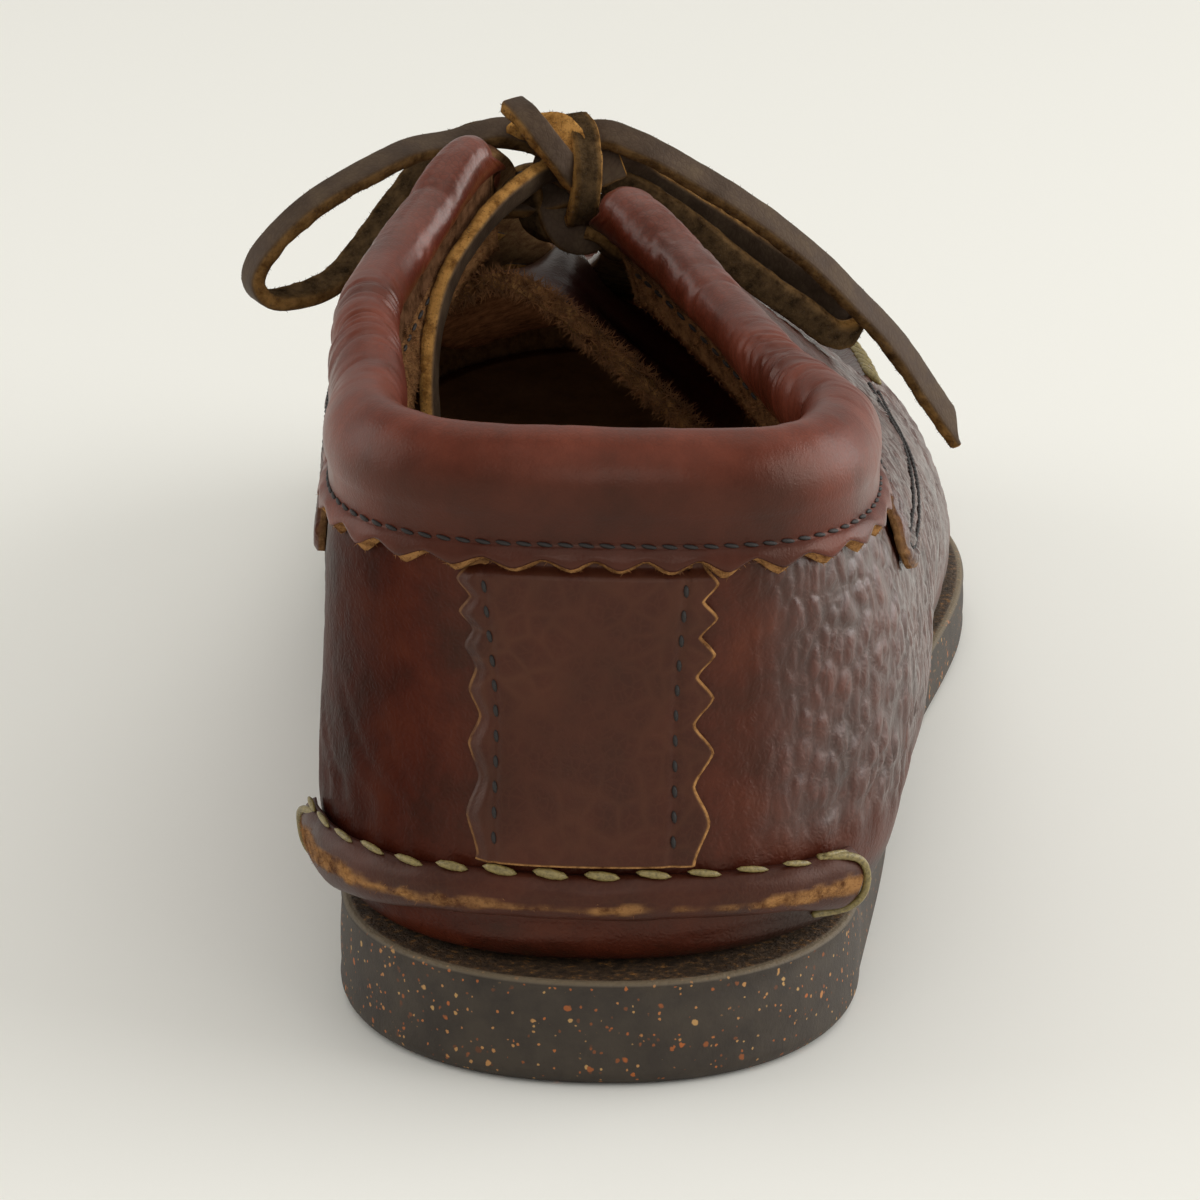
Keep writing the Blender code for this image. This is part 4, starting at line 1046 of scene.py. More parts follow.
@dataclass
class Stitching:
    """Rows of stitches, each a short thread lying along its row and dipping in at both ends."""

    last: Last
    tree: bpy.types.NodeTree = field(init=False)

    def __post_init__(self) -> None:
        """Builds the node group that lays one stitch at each point."""
        tree, given = node_group("stitches", Stitch_Length=0.003, Thread_Radius=0.0003, Slant=0.0)
        lengthwise = add(tree, "FunctionNodeAlignRotationToVector",
                         {"Vector": named_attribute(tree, "along", "FLOAT_VECTOR")}, axis="X")
        standing = add(tree, "FunctionNodeAlignRotationToVector", {
            "Rotation": lengthwise.outputs[0], "Vector": named_attribute(tree, "upward", "FLOAT_VECTOR")},
            axis="Z", pivot_axis="X")
        turn = add(tree, "FunctionNodeAxisAngleToRotation", {"Axis": (0, 0, 1), "Angle": given["Slant"]})
        laid = add(tree, "FunctionNodeRotateRotation", {0: standing.outputs[0], 1: turn.outputs[0]},
                   rotation_space="LOCAL")
        bead = add(tree, "GeometryNodeMeshUVSphere", {"Segments": 8, "Rings": 7, "Radius": 1.0})
        half = add(tree, "ShaderNodeMath", {0: given["Stitch Length"], 1: 0.5}, operation="MULTIPLY")
        size = add(tree, "ShaderNodeCombineXYZ", {"X": half.outputs[0], "Y": given["Thread Radius"],
                                                  "Z": given["Thread Radius"]})
        shaped = add(tree, "GeometryNodeTransform",
                     {"Geometry": bead.outputs["Mesh"], "Scale": size.outputs[0]})
        swell = named_attribute(tree, "swell")
        plump = add(tree, "ShaderNodeCombineXYZ", {"X": 1.0, "Y": swell, "Z": swell})
        laid_out = add(tree, "GeometryNodeInstanceOnPoints", {
            "Points": given["Geometry"], "Instance": shaped.outputs[0], "Rotation": laid.outputs[0],
            "Scale": plump.outputs[0]})
        real = add(tree, "GeometryNodeRealizeInstances", {"Geometry": laid_out.outputs[0]})
        soft = add(tree, "GeometryNodeSetShadeSmooth", {"Geometry": real.outputs[0]})
        keep(tree, soft.outputs[0], given["Material"])
        self.tree = tree

    def row(self, name: str, line: Array, normals: Array, pitch: float, length: float, radius: float,
            material: bpy.types.Material, slant: float = 0.0, wander: float = 0.0,
            swell: Callable[[Array], Array] | None = None) -> bpy.types.Object:
        """Sews one row.

        Args:
            name: the piece's name.
            line: the row's line, densely, in millimetres.
            normals: the leather's outward direction along it.
            pitch: the distance from stitch to stitch.
            length: how much of each stitch shows.
            radius: the thread's radius.
            material: the thread.
            slant: how far each stitch turns off the row, in degrees.
            wander: how far hand work strays sideways, in millimetres.
            swell: how plump each stitch is, as a function of the share of the row, 1 where not given.

        Returns:
            The stitches, as one piece.
        """
        run = run_of(line)
        count = max(1, int(run[-1] / pitch))
        at = (np.arange(count) + 0.5) * run[-1] / count
        spots = read(line, run, at)
        up = unit(read(normals, run, at))
        ahead = unit(read(line, run, at + 0.4) - read(line, run, at - 0.4))
        aside = np.cross(up, ahead)
        spots = spots + aside * (wander * noise(spots, 3.0, 5))[:, None]
        mesh = bpy.data.meshes.new(name)
        mesh.from_pydata(self.last.place(spots).tolist(), [], [])
        for key, value in (("along", ahead), ("upward", up)):
            mesh.attributes.new(key, "FLOAT_VECTOR", "POINT").data.foreach_set(
                "vector", value.astype(np.float32).ravel())
        plump = np.ones(count) if swell is None else swell(at / run[-1])
        mesh.attributes.new("swell", "FLOAT", "POINT").data.foreach_set("value", plump.astype(np.float32))
        seeds = place_object(name + "_points", mesh)
        settings = {"Stitch Length": length * MM, "Thread Radius": radius * MM, "Slant": math.radians(slant),
                    "Material": material}
        return run_nodes(seeds, self.tree, settings, name, material)


@dataclass
class Nap:
    """Short fibres that stand out of raw leather, thickest where the fluff attribute is full."""

    tree: bpy.types.NodeTree = field(init=False)

    def __post_init__(self) -> None:
        """Builds the node group that scatters the fibres."""
        tree, given = node_group("nap", Per_Square_Metre=1e6, Fibre_Length=0.001, Fibre_Radius=0.00006, Seed=1)
        density = add(tree, "ShaderNodeMath", {0: given["Per Square Metre"], 1: named_attribute(tree, "fluff")},
                      operation="MULTIPLY")
        roots = add(tree, "GeometryNodeDistributePointsOnFaces", {
            "Mesh": given["Geometry"], "Density": density.outputs[0], "Seed": given["Seed"]})
        fibre = add(tree, "GeometryNodeMeshCone", {
            "Vertices": 3, "Side Segments": 1, "Radius Top": 0.0, "Radius Bottom": given["Fibre Radius"],
            "Depth": given["Fibre Length"]})
        tilt = add(tree, "FunctionNodeRandomValue", {0: (-0.95, -0.95, -3.1), 1: (0.95, 0.95, 3.1), "Seed": 3},
                   data_type="FLOAT_VECTOR")
        lean = add(tree, "FunctionNodeEulerToRotation", {0: tilt.outputs[0]})
        laid = add(tree, "FunctionNodeRotateRotation", {0: roots.outputs["Rotation"], 1: lean.outputs[0]},
                   rotation_space="LOCAL")
        size = add(tree, "FunctionNodeRandomValue", {2: 0.35, 3: 1.3, "Seed": 9}, data_type="FLOAT")
        sown = add(tree, "GeometryNodeInstanceOnPoints", {
            "Points": roots.outputs["Points"], "Instance": fibre.outputs["Mesh"], "Rotation": laid.outputs[0],
            "Scale": size.outputs[1]})
        real = add(tree, "GeometryNodeRealizeInstances", {"Geometry": sown.outputs[0]})
        keep(tree, real.outputs[0], given["Material"])
        self.tree = tree

    def grow(self, name: str, on: bpy.types.Object, material: bpy.types.Material, per_mm2: float, length: float,
             radius: float = 0.06, seed: int = 1) -> bpy.types.Object:
        """Grows nap on the parts of a piece that its fluff attribute marks.

        Args:
            name: the new piece's name.
            on: the piece that it grows on.
            material: the fibres' finish.
            per_mm2: fibres on each square millimetre of fully marked surface.
            length: the fibres' length.
            radius: a fibre's radius at its root.
            seed: fixes where they stand.

        Returns:
            The fibres, as one piece.
        """
        ground = place_object(name + "_ground", on.data.copy())
        settings = {"Per Square Metre": per_mm2 * 1e6, "Fibre Length": length * MM, "Fibre Radius": radius * MM,
                    "Seed": seed, "Material": material}
        return run_nodes(ground, self.tree, settings, name, material)


def settle(piece: bpy.types.Object, slot: str, *nodes: str) -> bpy.types.Object:
    """Puts a piece on the shoe's body, hides the nodes that it stands for and logs its faces."""
    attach(piece, "root")
    if nodes:
        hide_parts(*nodes)
    LOG.info("%s: %d faces", piece.name, len(piece.data.polygons))
    return piece


# ---- outsole -------------------------------------------------------------------------------------


@dataclass
class Outsole:
    """The one-piece cork and rubber unit under the shoe."""

    last: Last
    finishes: Finishes
    bottom_round: float = 2.4
    top_bevel: float = 0.9
    flat_from: float = 14  # how far in the rings stop following the outline
    spacing: float = 1.1

    def outline(self, s: Array, inset: Array | float) -> Array:
        """The outline's points, moved in by inset, at height 0."""
        last = self.last
        side = np.where(s >= 0, 1, -1)
        around = np.abs(s)
        y = last.beside(s)
        outer = through(last.sole["y"], last.sole["lateral"], y)
        inner = through(last.sole["y"], last.sole["medial"], y)
        x = np.where(side > 0, outer, -inner) - side * inset
        turn = around * math.pi / 2
        power = 2 / last.heel_square
        heel = around < 1
        x = np.where(heel, x * np.abs(np.sin(turn)) ** power, x)
        y = np.where(heel, y - (last.heel_y - inset) * np.abs(np.cos(turn)) ** power, y)
        turn = (3 - around) * math.pi / 2
        power = 2 / np.where(side > 0, *last.toe_square)
        toe = around > 2
        x = np.where(toe, last.toe_x + (x - last.toe_x) * np.abs(np.sin(turn)) ** power, x)
        reach = last.sole_length - last.toe_y - inset
        y = np.where(toe, y + reach * np.abs(np.cos(turn)) ** power, y)
        return np.stack([x, y, 0 * x], axis=1)

    def build(self) -> Pieces:
        """Makes the sole."""
        last = self.last
        fine = np.linspace(-3, 3, 2401)[:-1]
        run = run_of(self.outline(fine, 0.0))
        count = int(run[-1] / self.spacing)
        s = np.interp(np.arange(count) * run[-1] / count, run, fine)
        beside = last.beside(s)
        spine = np.stack([last.spine_x(beside), beside, 0 * beside], axis=1)
        rings, ledge = [], []

        def ring(flat: Array, height: Array, wear_and_highlight: float) -> None:
            """Adds one ring of points at a height."""
            rings.append(np.column_stack([flat[:, :2], height]))
            ledge.append(np.full(len(flat), wear_and_highlight))

        rim = self.outline(s, self.flat_from)
        for share in (0.0, 0.4, 0.75):
            flat = spine + (rim - spine) * share
            ring(flat, last.sole_bottom(flat[:, 1]), 0)
        for inset in (self.flat_from, 9, 5, self.bottom_round):
            flat = self.outline(s, inset)
            ring(flat, last.sole_bottom(flat[:, 1]), 0)
        for turn in np.linspace(0.15, 1, 6) * math.pi / 2:
            flat = self.outline(s, self.bottom_round * (1 - math.sin(turn)))
            ring(flat, last.sole_bottom(flat[:, 1]) + self.bottom_round * (1 - math.cos(turn)), 0)
        full = self.outline(s, 0.0)
        low = last.sole_bottom(full[:, 1]) + self.bottom_round
        high = last.sole_top(full[:, 1]) - self.top_bevel
        for share in np.linspace(0.15, 1, 7):
            flat = self.outline(s, 0.25 - 0.25 * math.sin(math.pi * share))
            ring(flat, low + (high - low) * share, 0)
        # painted highlight: on the bevel's rings the mask is partial, which lays a light line there; on the top
        # ledge it is full, for the buffed wear
        for turn in np.linspace(0.25, 1, 4) * math.pi / 2:
            flat = self.outline(s, self.top_bevel * (1 - math.cos(turn)) + 0.02)
            rise = self.top_bevel * math.sin(turn)
            ring(flat, high + rise, 0.45 * smooth(0.3, 0.95, math.sin(turn)))
        for inset in (1.5, 2.0, 2.7, 3.4, 4.2, 5.2, 6.5, 8, 11, self.flat_from):
            flat = self.outline(s, inset)
            rough = 0.12 * noise(flat, 1.3, 4) * smooth(1.2, 2.5, inset) * smooth(10, 6, inset)
            ring(flat, last.sole_top(flat[:, 1]) + rough, 1)
        for share in (0.6, 0.3, 0.0):
            flat = spine + (rim - spine) * share
            ring(flat, last.sole_top(flat[:, 1]), 1)
        wear_and_highlight = np.stack(ledge)
        faces = grid_faces(len(rings), len(s), ring=True)
        sole = add_mesh("sole_unit", last, np.concatenate(rings), faces, [self.finishes.rubber],
                        {"ledge": wear_and_highlight, "fluff": wear_and_highlight * (wear_and_highlight > 0.5)})
        return [settle(sole, "cork_rubber", "outsole")]


# ---- upper ---------------------------------------------------------------------------------------


@dataclass
class Upper:
    """The moccasin shell, with the hand-sewn seam round its forepart."""

    last: Last
    finishes: Finishes
    stitching: Stitching
    wall: float = 2.2
    spacing: float = 1.3
    closest: float = 2.5  # how many times closer the columns stand on the outer quarter
    seam_middle: float = 0.6975
    seam_height: float = 2.6
    seam_start: float = 166.0
    thread_pitch: float = 6.2
    cell: Row = (2.3, 2.3, 4.8)
    creases: tuple[Crease, ...] = (
        # the inner quarter, puckered where it is eased into the heel seam
        Crease(((-0.68, 0.51), (-0.60, 0.46), (-0.50, 0.42), (-0.38, 0.393)), 0.85, 0.42),
        Crease(((-0.54, 0.54), (-0.48, 0.475), (-0.40, 0.428), (-0.31, 0.396)), 0.7, 0.3),
        Crease(((-0.86, 0.48), (-0.77, 0.43), (-0.66, 0.395)), 0.8, 0.35),
        # the outer quarter's, and its short tuck over the seam's end
        Crease(((0.95, 0.57), (0.93, 0.47), (0.915, 0.38)), 0.8, 0.8),
        Crease(((0.82, 0.46), (0.75, 0.415), (0.66, 0.385)), 1.0, 0.45),
        Crease(((0.64, 0.44), (0.56, 0.405), (0.46, 0.385)), 1.0, 0.35),
        # the bottom leather under the heel
        Crease(((-0.30, 0.285), (-0.12, 0.292), (0.05, 0.290)), 0.9, 0.3),
        Crease(((0.20, 0.275), (0.38, 0.282), (0.55, 0.275)), 0.9, 0.3),
        # walking creases over the plug
        Crease(((1.64, 0.78), (1.68, 0.90), (1.70, 1.0), (-1.69, 0.88), (-1.66, 0.77)), 1.6, 0.6),
        Crease(((1.73, 0.77), (1.76, 0.90), (1.77, 1.0), (-1.76, 0.90), (-1.74, 0.78)), 1.5, 0.55),
        Crease(((1.81, 0.79), (1.83, 0.92), (1.83, 1.0), (-1.82, 0.88)), 1.3, 0.4),
        # and down the sides of the vamp
        Crease(((1.60, 0.44), (1.645, 0.55), (1.66, 0.655)), 1.5, 0.55),
        Crease(((1.71, 0.46), (1.735, 0.56), (1.75, 0.655)), 1.5, 0.5),
        Crease(((1.80, 0.50), (1.815, 0.58), (1.82, 0.65)), 1.2, 0.35),
        Crease(((-1.58, 0.46), (-1.63, 0.56), (-1.65, 0.655)), 1.5, 0.55),
        Crease(((-1.70, 0.45), (-1.73, 0.55), (-1.74, 0.655)), 1.5, 0.5),
        Crease(((-1.80, 0.49), (-1.81, 0.58), (-1.82, 0.65)), 1.2, 0.35),
    )

    def levels(self) -> Array:
        """The v of each row, closer round the seam and over the quarter's grain."""
        return np.concatenate([
            np.linspace(0, 0.17, 3), np.linspace(0.2, 0.66, 62), np.linspace(0.666, 0.734, 17),
            np.linspace(0.744, 1.0, 30)])

    def stations(self) -> Array:
        """The s of each column: the two halves of the forepart match, so that they meet along the ridge."""
        last = self.last
        throat = float(last.station(last.throat_y))

        def closer(s: Array) -> Array:
            """Columns stand closer on the heavily grained outer quarter."""
            return 1 + (self.closest - 1) * smooth(0.15, 0.3, s) * smooth(throat, throat - 0.1, s)

        front = last.spread(throat, 3, self.spacing, 0.5)
        lateral = last.spread(0, throat, self.spacing, 0.5, closer)
        medial = last.spread(-throat, 0, self.spacing, 0.5)
        return np.concatenate([-front[::-1], medial[1:], lateral[1:], front[1:-1]])

    def grain(self, s: Array, v: Array, points: Array) -> tuple[Array, Array]:
        """The shrunken grain: how heavy it is at each point, and how deep in a groove the point lies."""
        forward = smooth(self.last.throat_y - 12, self.last.throat_y + 8, points[..., 1])
        plug = forward * smooth(0.66, 0.74, v)
        lateral = smooth(0.24, 0.48, s) * (s > 0)
        medial = smooth(0.3, 0.6, -s) * (s < 0)
        heavy = (0.08 + 0.92 * lateral * (1 - 0.35 * forward) + 0.12 * medial + 0.2 * medial * forward)
        heavy = (heavy * (1 - plug) + 0.4 * plug) * smooth(0.345, 0.40, v)
        pushed = warped(points, 1.5, 7.0, 41)
        small = grooves(pushed, self.cell, 17, 0.24)
        broad = grooves(pushed, (6.5, 6.5, 15.0), 23, 0.12)
        return heavy, np.clip(small + 0.4 * broad, 0, 1.1)

    def relief(self, s: Array, v: Array, points: Array, run: Array, grain: Array) -> Array:
        """How far the leather stands off the plain skin: seam, pleats, creases and grain.

        Args:
            s: places round the shoe, one a point.
            v: places up the section, one a point.
            points: the plain skin's points.
            run: distance round the shoe, in millimetres, for what repeats.
            grain: the depth of the grain's grooves, from 0 to 1.

        Returns:
            The height of each point.
        """
        y = points[..., 1]
        forward = smooth(self.seam_start, self.seam_start + 10, self.last.along(s))
        pleat = 0.5 + 0.5 * np.cos(2 * math.pi * run / self.thread_pitch)
        away = (v - self.seam_middle) / 0.0135
        seam = self.seam_height * np.exp(-np.abs(away) ** 3.2) * (1 - 0.16 * pleat)
        height = forward * seam
        below = np.exp(-((v - 0.675) / 0.012) ** 2) * 0.5 + np.exp(-((v - 0.722) / 0.014) ** 2) * 0.75
        height = height - forward * below * (0.35 + 0.55 * pleat)
        # the plug is gathered into the seam, so soft flutes run in from it
        height = height - forward * 0.28 * pleat * smooth(0.80, 0.725, v) * (v > 0.715)
        wallward = smooth(0.24, 0.34, v)
        height = height - 0.36 * grain
        height = height + 0.2 * noise(points, (8, 8, 13), 5) * wallward
        height = height + 0.3 * noise(points, (19, 19, 24), 6) * wallward
        # the quarter is eased into the heel seam in small pleats
        heel = smooth(75, 45, y) * np.exp(-((v - 0.385) / 0.03) ** 2)
        gather = 0.5 + 0.5 * np.cos(2 * math.pi * (run / 5.4) + 1.2 * noise(points, 12.0, 8))
        ends = smooth(0.25, 0.6, np.abs(s)) * (np.abs(s) < 1.2)
        height = height - heel * gather * (0.12 + 0.4 * ends)
        # under the seam the bottom leather is drawn in, full and lumpy
        roll = hill(0.28, 0.06, v) * smooth(80, 30, y)
        height = height + roll * 0.35 * noise(points, (9, 9, 6), 12)
        for crease in self.creases:
            height = height + crease.height(self.last, points)
        return height

    def build(self) -> Pieces:
        """Makes the shell and the thread of its seam."""
        last = self.last
        s, v = self.stations(), self.levels()
        across, up = np.meshgrid(s, v)
        plain = last.skin(across, up)
        normal = last.normal(across, up)
        normal[up < 0.19] = (0, 0, -1)
        run = run_of(np.vstack([last.skin(s, 0.7), last.skin(s[:1], 0.7)]))[:-1]
        heavy, groove = self.grain(across, up, plain)
        height = self.relief(across, up, plain, np.broadcast_to(run, across.shape), heavy * groove)
        height[up <= 0.235] = 0
        outer = plain + normal * height[..., None]
        inner_rows = np.linspace(0, len(v) - 1, 18).round().astype(int)
        inner = (plain - normal * self.wall)[inner_rows]
        inside_v = v[inner_rows, None]
        bumps = 0.25 * noise(inner, 5.0, 14) * smooth(0.25, 0.4, inside_v) * smooth(1.0, 0.9, inside_v)
        inner = inner + normal[inner_rows] * bumps[..., None]
        rows, columns = outer.shape[:2]
        start = rows * columns
        faces = grid_faces(rows, columns, ring=True)
        faces += [face[::-1] for face in grid_faces(len(inner_rows), columns, start, ring=True)]
        rim = last.along(s) < last.throat_y - 0.5
        top, under = (rows - 1) * columns, start + (len(inner_rows) - 1) * columns
        for j in range(columns):
            k = (j + 1) % columns
            if rim[j] or rim[k]:
                faces.append([top + k, top + j, under + j, under + k])
        blank = np.zeros(inner.shape[0] * columns)
        # painted shade: the bottom leather under the heel seam is darkened, most on the outer side, and so is
        # the inner quarter by the heel; both are laid in the grooves' dark colour
        shade = (0.12 + 0.75 * smooth(0.15, 0.5, across)) * smooth(0.33, 0.30, up)  # the bottom leather's
        shade = np.maximum(shade, 0.35 * smooth(0.3, 0.55, -across) * smooth(1.2, 0.9, -across))
        bloom = 0.25 * smooth(1.05, 1.35, across) * smooth(2.2, 1.9, across) * (up > 0.34)
        points = np.concatenate([outer.reshape(-1, 3), inner.reshape(-1, 3)])
        # painted shade: the inner side loses most of its gloss, which darkens it
        outside = {"pebble": 0.2 + 0.6 * heavy + bloom, "valley_and_shade": np.maximum(0.5 * heavy * groove, shade),
                   "dulled_for_shade": smooth(0.12, 0.45, -across) * smooth(1.7, 1.3, -across)}
        values = {"raw": np.concatenate([np.zeros(rows * columns), blank + 1])}
        values |= {name: np.concatenate([value.ravel(), blank]) for name, value in outside.items()}
        shell = add_mesh("moccasin_shell", last, points, faces, [self.finishes.quarter], values)
        return [settle(shell, "grain_leather", "upper"), *self.seam_thread()]

    def seam_thread(self) -> Pieces:
        """The waxed thread whipped over the forepart's seam."""
        last = self.last
        start = float(last.station(self.seam_start + 5))
        s = last.spread(start, 6 - start, 0.5, 0.7)
        line = last.off(s, self.seam_middle, self.seam_height - 0.35)
        row = self.stitching.row("forepart_thread", line, last.normal(s, self.seam_middle),
                                 self.thread_pitch, 5.0, 0.62, self.finishes.waxed, slant=52)
        return [settle(row, "grain_leather")]


# ---- collar --------------------------------------------------------------------------------------


@dataclass
class Collar:
    """The padded roll round the heel and up both facings, with its stitched and pinked lower edge."""

    last: Last
    finishes: Finishes
    stitching: Stitching
    nap: Nap
    wall: float = 2.2
    slot: float = 0.42
    skin: float = 1.5
    back: Row = (5.0, 6.6, 4.2, 1.0)  # half thickness, half height, outer flange, inner flange
    facing: Row = (4.1, 4.3, 1.0, 1.5)
    narrows: Row = (42.0, 78.0)
    roll_start: float = -0.78
    tooth: float = 1.1
    tooth_pitch: float = 6.2
    hem_fall: float = 6.0
    hem_swing: float = 5.2
    hem_stitches: float = 3.4  # how far below the roll the hem is stitched
    spacing: float = 0.6
    folds: tuple[Row, ...] = (  # side, y, depth
        (-1, 46, 0.25), (-1, 53, 0.3), (-1, 60.5, 0.55), (-1, 65, 0.3), (-1, 96, 0.15),
        (1, 43, 0.2), (1, 50, 0.3), (1, 56, 0.25), (1, 62, 0.3), (1, 84, 0.3), (1, 88.5, 0.25), (1, 94, 0.2),
    )

    def sizes(self, s: Array | float) -> tuple[Array, ...]:
        """Half thickness, half height, outer flange and inner flange at s."""
        forward = smooth(*self.narrows, self.last.along(np.atleast_1d(s)))
        return tuple(a + (b - a) * forward for a, b in zip(self.back, self.facing))

    def flange_foot(self, s: Array | float) -> Array:
        """How far the outer flange reaches below the wall's edge."""
        _, tall, flange, _ = self.sizes(s)
        return tall + flange

    def build(self) -> Pieces:
        """Makes the roll, its stitches and its nap."""
        last = self.last
        tip = float(last.station(last.tip_y))
        s = last.spread(-tip, tip, self.spacing, 0.95, lambda at: 1 + 0.9 * hill(54, 30, last.along(at)))
        run = run_of(last.skin(s, 1.0))
        thick, tall, flange, inside = self.sizes(s)
        behind = smooth(*self.narrows[::-1], last.along(s))
        low_out = tall + flange + self.tooth * wave(run, self.tooth_pitch, 3) * behind
        hang = smooth(46, 68, last.along(s))  # forward of the bend the hem hangs free of the wall
        low_in = tall + inside + self.hem_fall * hang
        slim = 1 - 0.2 * smooth(84, 112, last.along(s)) * (s < 0)
        near_out, near_in = self.slot, -self.wall - self.slot
        out, inward = near_out + self.skin, near_in - self.skin
        stitch_at = tall + 0.25 * flange
        ones = np.ones_like(s)
        columns: list[tuple[Array, Array, float, float, float]] = []  # down, lift, raw, cut, roll

        def add_column(down: Array, lift: Array, raw: float = 0.0, tan: float = 0.0, roll: float = 0.0) -> None:
            """Adds one line of points along the collar."""
            columns.append((down * ones, lift * ones, raw, tan, roll))

        add_column(low_out / 2, near_out, 1)
        add_column(low_out - 0.1, near_out, 1, 1)
        # the shears leave a slanting cut, so its tan fibres show under each tooth
        for rise, depth in ((0.0, 0.15), (0.3, 0.45), (0.65, 0.75), (1.0, 1.05)):
            add_column(low_out - rise * (0.35 + 0.65 * behind), near_out + depth * self.skin / 1.2, 1, 1)
        add_column(low_out - 1.2 * (0.35 + 0.65 * behind), out - 0.02, 0, 0.35)
        for share in np.linspace(0.3, 0.92, 7):
            down = low_out + (stitch_at + 0.4 - low_out) * share
            add_column(down, out + 0.42 * behind * math.sin(math.pi * share) ** 1.4)
        for offset, dip in ((0.3, 0.2), (0.0, 0.55), (-0.3, 0.35)):
            add_column(stitch_at + offset, out - dip * behind)
        for turn in np.linspace(self.roll_start, math.pi - self.roll_start, 44):
            add_column(-tall * slim * math.sin(turn), thick * slim * math.cos(turn) - self.wall / 2, roll=1)
        hem = np.linspace(0, 1, 9)
        for share in hem:
            down = tall * 0.9 + (low_in - tall * 0.9) * share
            swing = self.hem_swing * hang * share**1.3
            add_column(down, inward + 0.15 * math.sin(share * 9) - swing, float(share > 0.12),
                       0.45 * float(share > 0.12))
        add_column(low_in, near_in - 0.5 - self.hem_swing * hang, 1, 1)
        add_column(low_in, near_in - self.hem_swing * hang, 1)
        add_column(-self.slot, near_in, 1)
        add_column(-self.slot, near_out, 1)
        down, lift = (np.stack([column[k] for column in columns], axis=1) for k in (0, 1))
        raw, tan, roll = (np.array([column[k] for column in columns], float) for k in (2, 3, 4))
        loops = np.stack([last.edge(s, down[:, k], lift[:, k]) for k in range(len(columns))], axis=1)
        # painted shade: the wrinkles' depth also darkens the colour in them
        loops, valley_and_shade = self.wrinkle(loops, s, run, roll)
        loops = self.trim_ends(loops)
        fluff = np.zeros(lift.shape)
        first_hem = len(columns) - 4 - len(hem)
        fluff[:, first_hem + 2:first_hem + 10] = hang[:, None]
        fluff[:, 2:6] = 0.5 * behind[:, None]
        # painted shade: the lower half of the roll round the back is darkened, as the light falls on its top
        lower = smooth(-1.0 * tall[:, None], 0.2 * tall[:, None], down) * smooth(0.65, 0.35, np.abs(s))[:, None]
        polished = np.broadcast_to(0.42 + 0.33 * smooth(60, 90, last.along(s))[:, None], lift.shape)
        values = {"raw": np.broadcast_to(raw, lift.shape), "cut": np.broadcast_to(tan, lift.shape),
                  "pebble": polished, "fluff": fluff, "valley_and_shade": valley_and_shade + 0.65 * lower * (lift > -1.1)}
        roll_piece = Sweep(loops, values, 0.35, flat=True).make("padded_collar", last, [self.finishes.collar])
        sewn = self.sew(s, stitch_at, out, behind)
        fibres = self.nap.grow("collar_nap", roll_piece, self.finishes.nap, 5.0, 0.6, 0.05, 4)
        return [settle(roll_piece, "collar_leather", "collar"), *sewn, settle(fibres, "raw_edge_leather")]

    def wrinkle(self, loops: Array, s: Array, run: Array, roll: Array) -> tuple[Array, Array]:
        """Draws the roll's cross wrinkles, deepest where it bends onto the facings.

        Args:
            loops: the collar's cross sections.
            s: the place of each.
            run: the distance along the edge of each.
            roll: 1 on the lines of points that the roll has, 0 on the others.

        Returns:
            The loops, and how deep in a wrinkle each point lies.
        """
        middle = loops[:, roll > 0].mean(axis=1, keepdims=True)
        out = unit(loops - middle)
        count = loops.shape[1]
        turn = np.broadcast_to(np.arange(count)[None] * 0.75, loops.shape[:2])
        place = np.stack([np.broadcast_to(run[:, None], loops.shape[:2]), turn, 0 * turn], axis=-1)
        place = place + 0.9 * noise(place, (5, 6, 1), 51)[..., None]
        along = self.last.along(s)
        bend = hill(56, 21, along) + 0.35 * hill(26, 18, along)
        facing = smooth(74, 92, along) * (0.5 + 0.5 * noise(place[:, 0], (11, 1, 1), 57))
        size = 0.26 * bend + 0.16 * facing + 0.02
        creased = smooth(0.55, 1.0, 1 - np.abs(noise(place, (1.6, 13.0, 1), 52)))
        broad = smooth(0.6, 1.0, 1 - np.abs(noise(place, (4.5, 16.0, 1), 54)))
        depth = (size[:, None] * creased + 0.6 * size[:, None] * broad) * roll[None]
        for side, y, amount in self.folds:
            away = (along - y - 1.2 * noise(place[:, 0], (3, 1, 1), 58)) / 0.75
            here = np.exp(-(away**2)) * (s * side > 0)
            span = 0.5 + 0.5 * np.cos(np.linspace(-1.6, 2.2, count))[None]
            depth = depth + amount * here[:, None] * span * roll[None]
        lump = 0.14 * roll[None] * noise(place, (7, 9, 1), 53)
        lump = lump + 0.1 * roll[None] * noise(place, (26, 30, 1), 55)
        return loops + out * (lump - 1.15 * depth)[..., None], np.clip(0.45 * depth, 0, 0.25)

    def trim_ends(self, loops: Array) -> Array:
        """Cuts both tips on a slant, as the roll is where the lace draws it in."""
        loops = loops.copy()
        for order in (1, -1):
            rows = loops[::order]
            ahead = unit(rows[0].mean(axis=0) - rows[6].mean(axis=0))
            inward = math.copysign(1, -rows[0, :, 0].mean() - 9)
            cut = unit(np.array([0.35 * inward, 0.30, 0.85]))
            above = (rows[0] - rows[0].mean(axis=0)) @ cut
            back = np.clip(above / float(ahead @ cut), -1.2, 9.0)
            run = run_of(rows.mean(axis=1))
            ease = np.clip(1 - run / 22.0, 0, 1)
            rows -= ahead * (ease[:, None] * back)[..., None]
        return loops

